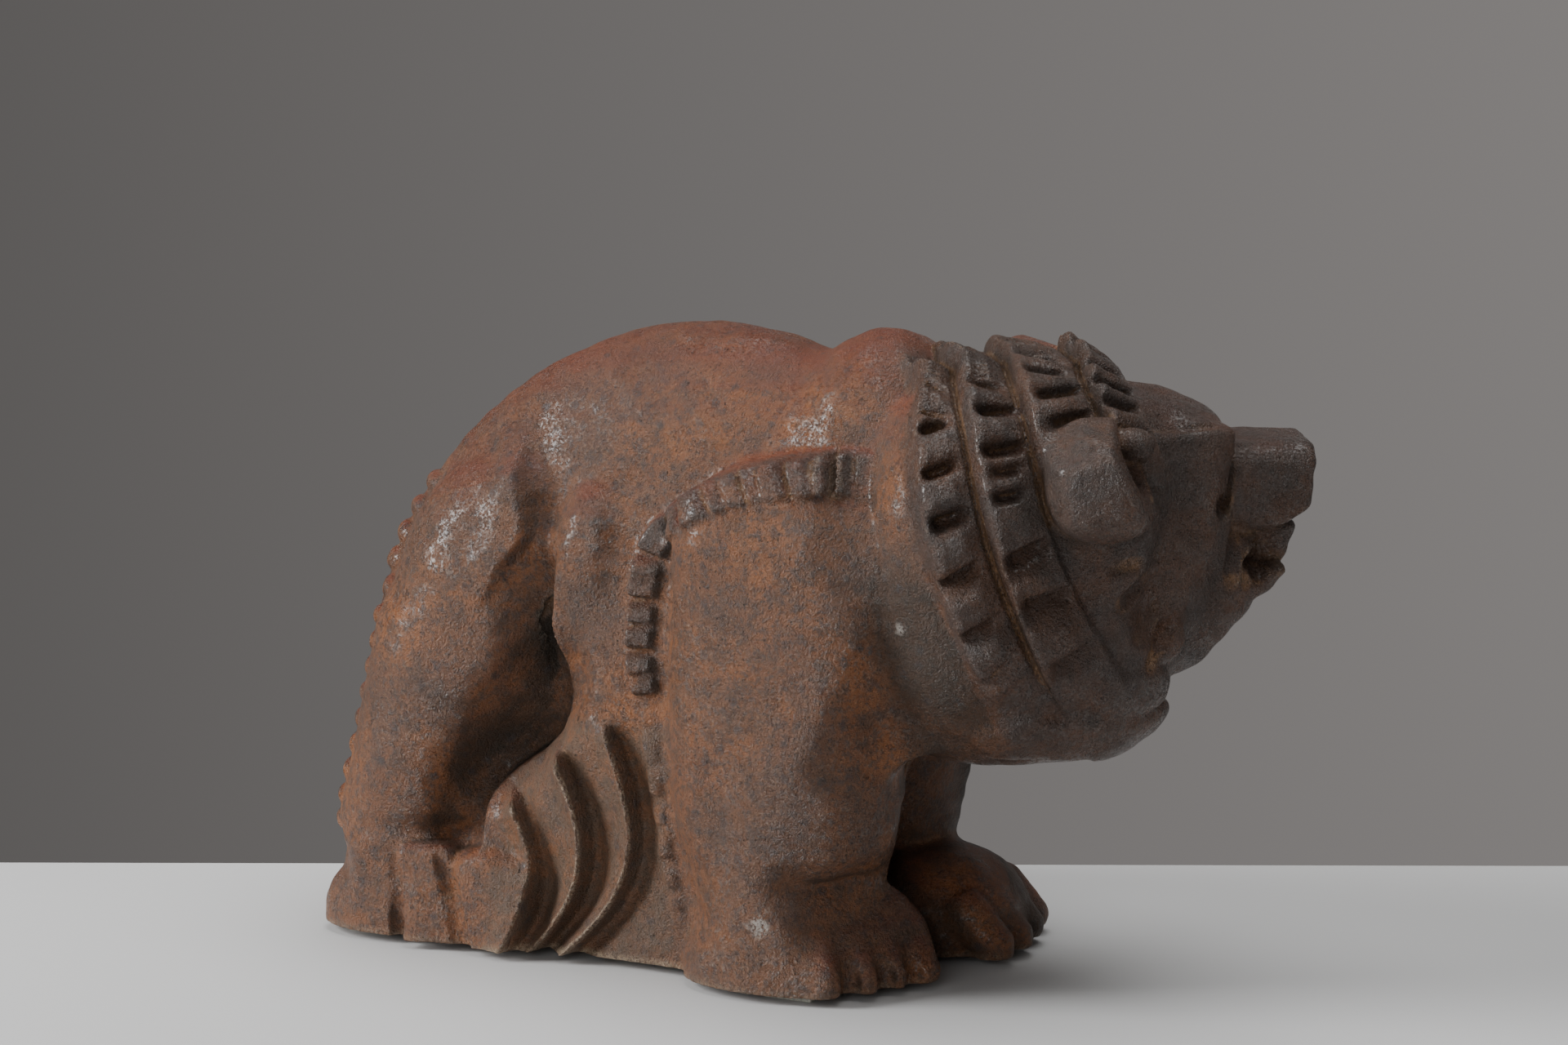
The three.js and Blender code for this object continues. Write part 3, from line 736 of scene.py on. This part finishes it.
SHOULDER_TOP = (
    (42, 260), (24, 262), (7, 260), (-15, 256), (-36, 248), (-54, 239), (-67, 230), (-77, 219), (-80, 206),
    (-81, 194), (-81, 179), (-81, 164), (-78, 151), (-76, 140),
)
SHOULDER_CUTS = (
    (34, 261, 4, 5), (25, 262, 7, 3.5), (17, 261, 3, 4), (6, 260, 7, 6), (-8, 258, 4.5, 7), (-16, 255, 5, 3),
    (-27, 251, 3, 6), (-37, 247, 6, 5), (-53, 239, 6.5, 8), (-60, 235, 2.5, 5), (-68, 229, 7, 5),
    (-79, 214, 6.5, 7), (-81, 203, 2.5, 4), (-81, 192, 6.5, 5), (-81, 179, 3.5, 4), (-81, 166, 6, 6),
    (-79, 154, 3, 5), (-76, 143, 5, 5),
)
LEG_FRINGE = ((-75, 138), (-74, 121), (-72, 105), (-72, 86), (-68, 72), (-66, 55), (-62, 38), (-60, 20))
FRINGE_CUTS = (
    (-74, 127, 2.5, 8), (-72, 108, 2, 8), (-72, 90, 3, 9), (-69, 75, 2, 8), (-66, 58, 3, 9),
    (-63, 42, 2.5, 9), (-61, 30, 2, 9),
)


class Bear:
    """The whole clay field, with the body and the head kept apart for the colours."""

    def __init__(self, settings):
        self.settings = settings
        right, left = FLANKS
        touches = trunk() + hollow(right) + hollow(left) + hind_leg(right) + hind_leg(left)
        for flank, leg in zip(FLANKS, FRONT_LEGS):
            touches += front_leg(flank, *leg)
        for flank in FLANKS:
            touches += haunch_folds(flank) + foot_lobes(flank)
        touches += leg_planes()
        bare = Clay(touches)
        self.body_clay = Clay(touches + haunch_beads(bare, right) + haunch_beads(bare, left))
        self.shoulder = Band(SHOULDER_TOP, SHOULDER_CUTS, (11.5, 8), 7, lean=0.45)
        self.fringe = Band(LEG_FRINGE, FRINGE_CUTS, (5.5, 4.5), 3.2)
        self.skull = Clay(skull())
        self.cheeks = beard(self.skull)
        self.ears = ears()
        self.into_head = np.array(HEAD.inverted())[:3]
        chance = np.random.default_rng(7)
        self.waves = []
        for size in (34, 30, 26, 22, 17, 15, 13, 11, 9, 8):
            heading = chance.normal(size=3)
            heading *= 2 * np.pi / size / norm(heading)
            self.waves.append((heading, chance.uniform(0, 6.28), (size / 34) ** 0.8))

    def in_head(self, p):
        return self.into_head[:, :3] @ p.T + self.into_head[:, 3:]

    def head(self, p):
        d = self.skull(p)
        near = np.nonzero(np.abs(d) < 40)[0]
        for touch in self.cheeks:
            d = touch.apply(d, p)
        d[near] -= ruff(*self.in_head(p[near]), self.settings.slot_depth)
        for touch in self.ears:
            d = touch.apply(d, p)
        return d

    def body(self, p):
        d = self.body_clay(p) - flutes(p)
        near = np.nonzero(np.abs(d) < 30)[0]
        here = p[near]
        d[near] -= sum(crease.height(here) for crease in CREASES)
        d[near] -= np.maximum(self.shoulder.height(here), self.fringe.height(here))
        return d

    def hand(self, p):
        """Slow unevenness from shaping by hand."""
        total = np.zeros(len(p))
        for heading, phase, size in self.waves:
            total += size * np.sin(p @ heading + phase)
        return total * self.settings.waviness / 4

    def __call__(self, p):
        d = meet(self.body(p), self.head(p), 4)
        near = np.nonzero(np.abs(d) < 20)[0]
        d[near] -= self.hand(p[near])
        return np.maximum(d, -p[:, 2])


def in_slabs(field, points, size=60000):
    """The field at many points, a slab at a time, so that touches far from a slab are passed over."""
    return np.concatenate([field(points[i : i + size]) for i in range(0, len(points), size)])


def fire(field, low, high, step):
    """Turns the clay into a mesh: the field is asked for on a coarse grid, then finely near the skin."""
    coarse, reach = 4, 3 * step
    wide = step * coarse
    cells = np.ceil((np.array(high) - low) / wide).astype(int)
    axes = [low[i] + wide * (np.arange(cells[i]) + 0.5) for i in range(3)]
    centres = np.stack(np.meshgrid(*axes, indexing="ij"), -1).reshape(-1, 3)
    rough = in_slabs(field, centres)
    near = np.abs(rough) < wide * 2.2
    dense = np.sign(rough).reshape(cells)
    for axis in range(3):
        dense = np.repeat(dense, coarse, axis)
    dense = (dense * 3 * step).astype(np.float32)
    offsets = (np.stack(np.meshgrid(*[np.arange(coarse)] * 3, indexing="ij"), -1).reshape(-1, 3) + 0.5) * step
    corners = centres[near] - wide / 2
    points = (corners[:, None, :] + offsets[None]).reshape(-1, 3)
    index = np.floor((points - low) / step).astype(int)
    dense[tuple(index.T)] = np.clip(in_slabs(field, points), -reach, reach)
    grid = openvdb.FloatGrid(reach)
    grid.copyFromArray(dense)
    grid.gridClass = openvdb.GridClass.LEVEL_SET
    points, quads = grid.convertToQuads(0)
    return (points + 0.5) * step + np.array(low), quads[:, ::-1]


# Small pale scars in the glaze, as (x, y, z, radius).
SCARS = ((45, -65, 86, 3.6), (66, -86, 189, 3.2), (-2, -105, 35, 6), (3, -104, 44, 3.5), (128, -25, 33, 1.6))


def glaze_maps(mesh, bear):
    """Writes what the glaze needs to know of the clay at each point of the mesh."""
    co = np.empty(len(mesh.vertices) * 3, np.float32)
    mesh.vertices.foreach_get("co", co)
    p = co.reshape(-1, 3).astype(float) / MM - np.array(CLAY_ORIGIN)
    # Points that lie together are asked for together.
    order = np.argsort(np.floor(p[:, 0] / 20) * 1e4 + np.floor(p[:, 1] / 20) * 1e2 + p[:, 2] / 20)
    back = np.empty_like(order)
    back[order] = np.arange(len(order))
    p = p[order]
    x, y, z = p.T
    out = in_slabs(lambda q: slope(bear, q, 0.8), p, 20000)
    maps = {}
    for name, far in (("groove", 3.5), ("deep", 14), ("cave", 38)):
        maps[name] = 1 - in_slabs(bear, p + far * out) / far
    maps["edge"] = 1 + in_slabs(bear, p - 3 * out) / 3

    f, v, u = bear.in_head(p)
    angle = around(v, u)
    behind = edge_at(0, angle) - f
    head = ease((in_slabs(bear.body, p) - in_slabs(bear.head, p)) / 24 + 0.5)
    head *= np.maximum(ease((f - edge_at(0, angle) + 3) / 5), ease((angle - 128) / 20))
    # Painted shade: dark in the hollow, in the fold behind the ruff, and on the breast where the head shades
    # it.
    fold = ease(1 - np.abs(behind - 4) / 30) * ease((angle - 75) / 30) * (1 - head)
    chest = ease((x - 24 - 0.2 * np.maximum(230 - z, 0)) / 34) * ease((250 - z) / 60)
    dark = np.maximum(-HOLLOW_EDGE.height(p) / 22, 0.9 * fold)
    dark = np.maximum(dark, chest * (1 - head) * ease((z - 60) / 30))
    # The far ear has the colour of the body.
    head *= 1 - 0.85 * ease((42 - norm(np.stack([f - 6, v - 84, u - 76]), axis=0)) / 12)
    rock = ease((x + 175) / 14) * ease((-58 - x) / 14) * ease((132 - z) / 12)
    scars = [ease((radius - norm(p - at, axis=1)) / 2) for *at, radius in SCARS]
    maps |= {
        "head": head,
        "up": out[:, 2],
        "hollow": dark,
        "tuft": ease(ruff(f, v, u, 0.6) / 6) * head,
        "tooth": ease(bear.shoulder.height(p) / 4) * (1 - head),
        "rock": rock * ease((np.abs(y) - 50) / 12),
        "scar": np.max(scars, axis=0),
    }
    for name, values in maps.items():
        attribute = mesh.attributes.new(name, "FLOAT", "POINT")
        attribute.data.foreach_set("value", np.clip(values, -1, 1)[back].astype(np.float32))


class OBJECT_OT_add_bear(bpy.types.Operator):
    """Lays up the bear's clay, fires it to a fine mesh and glazes it"""

    bl_idname = "bear.add_bear"
    bl_label = "Add the bear"

    def execute(self, context):
        settings = context.scene.bear_clay
        bear = Bear(settings)
        points, faces = fire(bear, (-304, -132, -8), (286, 150, 342), settings.grain)
        points[:, 2] = np.maximum(points[:, 2], 0)
        mesh = bpy.data.meshes.new("bear_glazed")
        mesh.from_pydata(((points + np.array(CLAY_ORIGIN)) * MM).tolist(), [], faces.tolist())
        mesh.validate()
        piece = bpy.data.objects.new("bear_glazed", mesh)
        context.collection.objects.link(piece)
        bpy.ops.object.select_all(action="DESELECT")
        piece.select_set(True)
        context.view_layer.objects.active = piece
        thin = piece.modifiers.new("thin", "DECIMATE")
        thin.ratio = min(1, settings.faces / (2 * len(faces)))
        thin.use_collapse_triangulate = True
        bpy.ops.object.modifier_apply(modifier="thin")
        bpy.ops.object.shade_smooth()
        glaze_maps(piece.data, bear)
        piece.data.materials.append(stoneware_glaze(context.scene.bear_glaze))
        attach(piece, "root")
        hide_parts("bear")
        return {"FINISHED"}


class OBJECT_OT_add_pads(bpy.types.Operator):
    """Adds the four small felt pads between the bear and the table"""

    bl_idname = "bear.add_pads"
    bl_label = "Add the pads"

    def execute(self, context):
        felt = felt_material()
        for name in sorted(n for n in frame["nodes"] if n.startswith("pad_")):
            low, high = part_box(name)
            bpy.ops.mesh.primitive_cube_add(size=1, location=(low + high) / 2, scale=(high - low))
            piece = context.active_object
            piece.name = name + "_felt"
            bpy.ops.object.transform_apply(location=True, rotation=True, scale=True)
            bpy.ops.object.mode_set(mode="EDIT")
            bpy.ops.mesh.select_all(action="SELECT")
            bpy.ops.mesh.subdivide(number_cuts=7)
            bpy.ops.object.mode_set(mode="OBJECT")
            soft = piece.modifiers.new("soft", "BEVEL")
            soft.width, soft.segments = 0.0009, 3
            bpy.ops.object.modifier_apply(modifier="soft")
            bpy.ops.object.shade_smooth_by_angle(angle=math.radians(50))
            piece.data.materials.append(felt)
            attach(piece, "root")
            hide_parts(name)
        return {"FINISHED"}


# Materials


def operation(name, swapped=False):
    def apply(self, other):
        pair = (other, self) if swapped else (self, other)
        return self.nodes.add("Math", {"operation": name}, *pair)

    return apply


class Value:
    """A socket that can be used in sums."""

    def __init__(self, nodes, socket):
        self.nodes, self.socket = nodes, socket

    __add__ = __radd__ = operation("ADD")
    __mul__ = __rmul__ = operation("MULTIPLY")
    __sub__ = operation("SUBTRACT")
    __rsub__ = operation("SUBTRACT", swapped=True)

    def clamp(self):
        return self.nodes.add("Clamp", {}, self)

    def ramp(self, low, high, first, last, kind="LINEAR"):
        """The first value below low, the last one above high, and a ramp between."""
        settings = {"interpolation_type": kind}
        return self.nodes.add("MapRange", settings, self, low, high, first, last)

    def step(self, low, high):
        """0 below low, 1 above high, smooth between."""
        return self.ramp(low, high, 0.0, 1.0, "SMOOTHSTEP")


def find(sockets, key):
    """A socket by its number or its identifier."""
    return sockets[key] if isinstance(key, int) else next(s for s in sockets if s.identifier == key)


class Nodes:
    """A node tree whose nodes are written as expressions."""

    def __init__(self, tree, coordinates):
        self.tree = tree
        self.place = self.add("TexCoord", {}, output=coordinates)

    def add(self, kind, settings, *values, output=0, **named):
        made = self.tree.nodes.new("ShaderNode" + kind)
        for key, value in settings.items():
            setattr(made, key, value)
        for key, value in [*enumerate(values), *named.items()]:
            if value is not None:
                self.put(find(made.inputs, key), value)
        return Value(self, find(made.outputs, output))

    def put(self, socket, value):
        if isinstance(value, Value):
            self.tree.links.new(value.socket, socket)
        else:
            socket.default_value = (*value, 1) if socket.type == "RGBA" else value

    def attribute(self, name):
        return self.add("Attribute", {"attribute_name": name}, output="Fac")

    def noise(self, scale, detail, roughness=0.55, distortion=0.0):
        sockets = dict(Scale=scale, Detail=detail, Roughness=roughness, Distortion=distortion)
        return self.add("TexNoise", {}, self.place, **sockets, output="Fac")

    def spots(self, scale, radius, soft, share):
        """Round spots scattered at a scale; share is how many of them show."""
        cells = self.add("TexVoronoi", {}, self.place, Scale=scale, output="Distance")
        near = 1 - cells.step(radius, radius + soft)
        pick = self.add("SeparateColor", {}, Value(self, find(cells.socket.node.outputs, "Color")))
        return near * pick.step(1 - share - 0.02, 1 - share + 0.02)

    def mix(self, factor, a, b):
        sockets = dict(Factor_Float=factor, A_Color=a, B_Color=b)
        return self.add("Mix", {"data_type": "RGBA"}, **sockets, output="Result_Color")

    def bump(self, height, distance, strength, under=None):
        sockets = dict(Strength=strength, Distance=distance, Height=height, Normal=under)
        return self.add("Bump", {}, **sockets, output="Normal")


class Shader(Nodes):
    """The nodes of a new material, round its Principled surface."""

    def __init__(self, name):
        self.material = bpy.data.materials.new(name)
        self.material.use_nodes = True
        super().__init__(self.material.node_tree, "Object")

    def finish(self, **sockets):
        inputs = self.tree.nodes["Principled BSDF"].inputs
        for name, value in sockets.items():
            self.put(inputs[name.replace("_", " ")], value)
        return self.material


def stoneware_glaze(colours):
    s = Shader("stoneware_glaze")
    maps = ("groove", "deep", "edge", "cave", "hollow", "head", "up", "tuft", "tooth", "rock", "scar")
    groove, deep, edge, cave, hollow, head, up, tuft, tooth, rock, scar = map(s.attribute, maps)
    height = s.add("SeparateXYZ", {}, s.place, output=2)
    clouds, drift = s.noise(10, 6, 0.62, 0.5), s.noise(26, 5, 0.6)
    blotches, mottle = s.noise(85, 5, 0.7), s.noise(260, 4, 0.7)
    grain, fine = s.noise(650, 3, 0.7), s.noise(1500, 2, 0.6)

    # The body: rust, clouded and mottled with grey-brown, brick red where it faces up.
    colour = s.mix(drift.step(0.42, 0.6), colours.rust, (0.27, 0.1, 0.034))
    colour = s.mix(clouds.step(0.42, 0.62) * 0.55, colour, colours.umber)
    colour = s.mix(blotches.step(0.46, 0.62) * 0.6, colour, colours.umber)
    colour = s.mix(mottle.step(0.47, 0.62) * 0.7, colour, (0.065, 0.046, 0.04))
    colour = s.mix(grain.step(0.52, 0.66) * 0.35, colour, (0.34, 0.19, 0.1))
    red = up.step(0.35, 0.95) * s.noise(8, 3).step(0.28, 0.52) * (1 - tuft) * (1 - edge.step(0.05, 0.3))
    colour = s.mix(red * (0.5 + 0.45 * blotches), colour, colours.brick)
    # The rock is duller.
    colour = s.mix(rock * (0.35 + 0.3 * blotches.step(0.4, 0.6)), colour, (0.135, 0.088, 0.056))
    # Brown-black gloss on the head and the tufts.
    iron = s.mix(drift.step(0.4, 0.62) * 0.7 + 0.25 * mottle, colours.iron, (0.085, 0.043, 0.026))
    dark = head * (0.8 + 0.14 * blotches.step(0.4, 0.6)) + tooth * (0.35 + 0.4 * blotches.step(0.38, 0.56))
    colour = s.mix(dark.clamp(), colour, iron)
    # Ochre lies in the grooves, and painted shade makes the deepest places nearly black.
    ochre = groove.step(0.15, 0.8) * (0.4 + 0.6 * mottle.step(0.35, 0.58))
    colour = s.mix((ochre * (0.85 - 0.35 * rock)).clamp(), colour, colours.ochre)
    painted_deep_shade = (deep.step(0.6, 1.0) * (1 - 0.85 * rock) * (0.5 - 0.3 * head)).clamp()
    colour = s.mix(painted_deep_shade, colour, (0.026, 0.017, 0.011))
    # Painted shade in the cavities, in the hollow, in the fold behind the ruff and on the breast.
    shade = cave.step(0.3, 0.8) * (0.65 - 0.45 * rock) * (1 - 0.6 * head) + hollow.step(0.1, 0.9) * 0.8
    shade = shade.clamp()
    colour = s.mix(shade, colour, (0.035, 0.024, 0.015))
    # Pale convex edges, dark specks and pits, pale scars and spots, and the raw edge at the foot.
    pale_edge = edge.step(0.22, 0.6) * grain.step(0.4, 0.6)
    colour = s.mix((pale_edge * (0.22 + 0.55 * rock)).clamp(), colour, (0.4, 0.31, 0.22))
    specks = s.spots(110, 0.16, 0.22, 0.35) * grain.step(0.35, 0.55)
    colour = s.mix(specks * 0.6 * (1 - head), colour, (0.04, 0.036, 0.04))
    pits = s.spots(420, 0.15, 0.12, 0.3)
    colour = s.mix(pits * 0.6, colour, (0.02, 0.016, 0.014))
    pale = (scar * grain.step(0.42, 0.5)).clamp() + s.spots(16, 0.055, 0.03, 0.1) * mottle.step(0.45, 0.5)
    colour = s.mix((pale * 0.75).clamp(), colour, colours.ash)
    foot = (1 - height.step(0.0055, 0.0095)) * grain.step(0.3, 0.6)
    colour = s.mix(foot * (0.25 + 0.5 * rock), colour, (0.36, 0.26, 0.17))

    gloss = (0.25 + 0.35 * (head + tooth) + 0.8 * s.noise(24, 4).step(0.42, 0.6)).clamp()
    gloss = gloss * (1 - 0.5 * rock) * (1 - 0.7 * shade)
    rough = 0.48 - 0.16 * gloss - 0.18 * gloss * mottle.step(0.42, 0.58)
    normal = None
    for relief, distance, strength in (
        (fine, 0.0012, 1.0), (grain, 0.0024, 1.0), (mottle, 0.0026, 0.6), (blotches, 0.002, 0.4),
        (1 - pits, 0.001, 0.8),
    ):
        normal = s.bump(relief, distance, strength, normal)
    # A thin coat, broken up by the grain and the mottling.
    coat = (gloss * grain.step(0.46, 0.58) * (0.25 + 0.75 * mottle.step(0.44, 0.56)) * 0.55).clamp()
    return s.finish(
        Base_Color=colour, Roughness=rough.clamp(), Coat_Weight=coat, Coat_Roughness=0.22, Normal=normal
    )


def felt_material():
    s = Shader("pad_felt")
    fibres = s.noise(900, 3, 0.7)
    colour = s.mix(fibres.step(0.35, 0.65), (0.42, 0.41, 0.34), (0.68, 0.67, 0.6))
    return s.finish(Base_Color=colour, Roughness=0.95, Normal=s.bump(fibres, 0.0004, 0.8))


# Studio

# The point of the clay that the camera goes round and the lights aim at.
AIM = (0, -42, 160)
# How far that point lies right of the picture's middle and below it, in pixels.
OFF_MIDDLE = (44, 170)
FRAME_PIXELS = 1920
# Each light: its place from the aim as (across, into the room, up), its size and its power.
LIGHTS = {
    "key_window": ((-2.7, -0.2, 1.1), (1.0, 1.9), 125),
    "fill_front": ((-0.9, -2.8, 0.8), (1.8, 1.6), 24),
    "top": ((0.3, 0.2, 2.4), (2.4, 1.8), 58),
}


def add_camera(context, aim, back, distance):
    data = bpy.data.cameras.new("photo_camera")
    data.sensor_width, data.lens, data.clip_end = 36.0, 90.0, 50
    camera = bpy.data.objects.new("photo_camera", data)
    camera.location = aim + back * distance
    focal = FRAME_PIXELS * data.lens / data.sensor_width
    ahead = -back
    right = ahead.cross(Vector((0, 0, 1))).normalized()
    above = right.cross(ahead)
    axis = (ahead - right * OFF_MIDDLE[0] / focal + above * OFF_MIDDLE[1] / focal).normalized()
    camera.rotation_euler = axis.to_track_quat("-Z", "Y").to_euler()
    context.collection.objects.link(camera)
    context.scene.camera = camera


def add_table(context, across, into, edge):
    bpy.ops.mesh.primitive_plane_add(size=1, location=(0, 0, 0))
    table = context.active_object
    table.name = "table"
    table.data.materials.append(Shader("table_paint").finish(Base_Color=(0.6, 0.6, 0.6), Roughness=0.6))
    side, front = 1.8, -1.1
    corners = ((-side, front), (side, front), (-side, edge), (side, edge))
    for vertex, (x, y) in zip(table.data.vertices, corners):
        vertex.co = across * x + into * y


def add_room(context, across, into):
    """Grey surroundings that grow lighter to the right, lit only behind the bear."""
    world = bpy.data.worlds.new("studio_grey")
    context.scene.world = world
    world.use_nodes = True
    w = Nodes(world.node_tree, "Generated")

    def facing(way):
        return w.add("VectorMath", {"operation": "DOT_PRODUCT"}, w.place, way, output="Value")

    grey = facing(across).ramp(-0.21, 0.19, 0.112, 0.222)
    background = world.node_tree.nodes["Background"].inputs
    w.put(background["Color"], w.add("CombineColor", {}, grey * 1.0, grey * 0.945, grey * 0.92))
    w.put(background["Strength"], facing(into).ramp(0.6, 0.93, 0.42, 1.0))


def soft_light(context, name, position, aim, size, power):
    data = bpy.data.lights.new(name, "AREA")
    data.shape, data.size, data.size_y, data.energy = "RECTANGLE", *size, power
    light = bpy.data.objects.new(name, data)
    light.location = position
    light.rotation_euler = (aim - position).to_track_quat("-Z", "Y").to_euler()
    context.collection.objects.link(light)


class OBJECT_OT_add_studio(bpy.types.Operator):
    """Adds the table, the soft studio light, the grey surroundings and the camera"""

    bl_idname = "bear.add_studio"
    bl_label = "Add the studio"

    def execute(self, context):
        settings = context.scene.bear_studio
        a, e = settings.azimuth, settings.elevation
        back = Vector((math.sin(a) * math.cos(e), -math.cos(a) * math.cos(e), math.sin(e)))
        across, into = Vector((math.cos(a), math.sin(a), 0)), Vector((-math.sin(a), math.cos(a), 0))
        aim = (Vector(AIM) + CLAY_ORIGIN) * MM
        add_camera(context, aim, back, settings.distance)
        add_table(context, across, into, settings.table_edge)
        add_room(context, across, into)
        for name, ((x, y, z), size, power) in LIGHTS.items():
            soft_light(context, name, aim + across * x + into * y + Vector((0, 0, z)), aim, size, power)
        return {"FINISHED"}


class VIEW3D_PT_bear(bpy.types.Panel):
    bl_label = "Bear sculpture"
    bl_space_type = "VIEW_3D"
    bl_region_type = "UI"
    bl_category = "Bear"

    def draw(self, context):
        for operator in OPERATORS:
            self.layout.operator(operator.bl_idname)
        for group in GROUPS:
            settings = getattr(context.scene, group)
            for name in settings.bl_rna.properties.keys():
                if name not in ("rna_type", "name"):
                    self.layout.prop(settings, name)


GROUPS = {"bear_clay": ClaySettings, "bear_glaze": GlazeSettings, "bear_studio": StudioSettings}
OPERATORS = (OBJECT_OT_add_bear, OBJECT_OT_add_pads, OBJECT_OT_add_studio)
CLASSES = (*GROUPS.values(), *OPERATORS, VIEW3D_PT_bear)


def register():
    for cls in CLASSES:
        bpy.utils.register_class(cls)
    for name, group in GROUPS.items():
        setattr(bpy.types.Scene, name, PointerProperty(type=group))


def unregister():
    for name in GROUPS:
        delattr(bpy.types.Scene, name)
    for cls in reversed(CLASSES):
        bpy.utils.unregister_class(cls)


def main():
    register()
    bpy.ops.bear.add_bear()
    bpy.ops.bear.add_pads()
    bpy.ops.bear.add_studio()


if __name__ == "__main__":
    main()
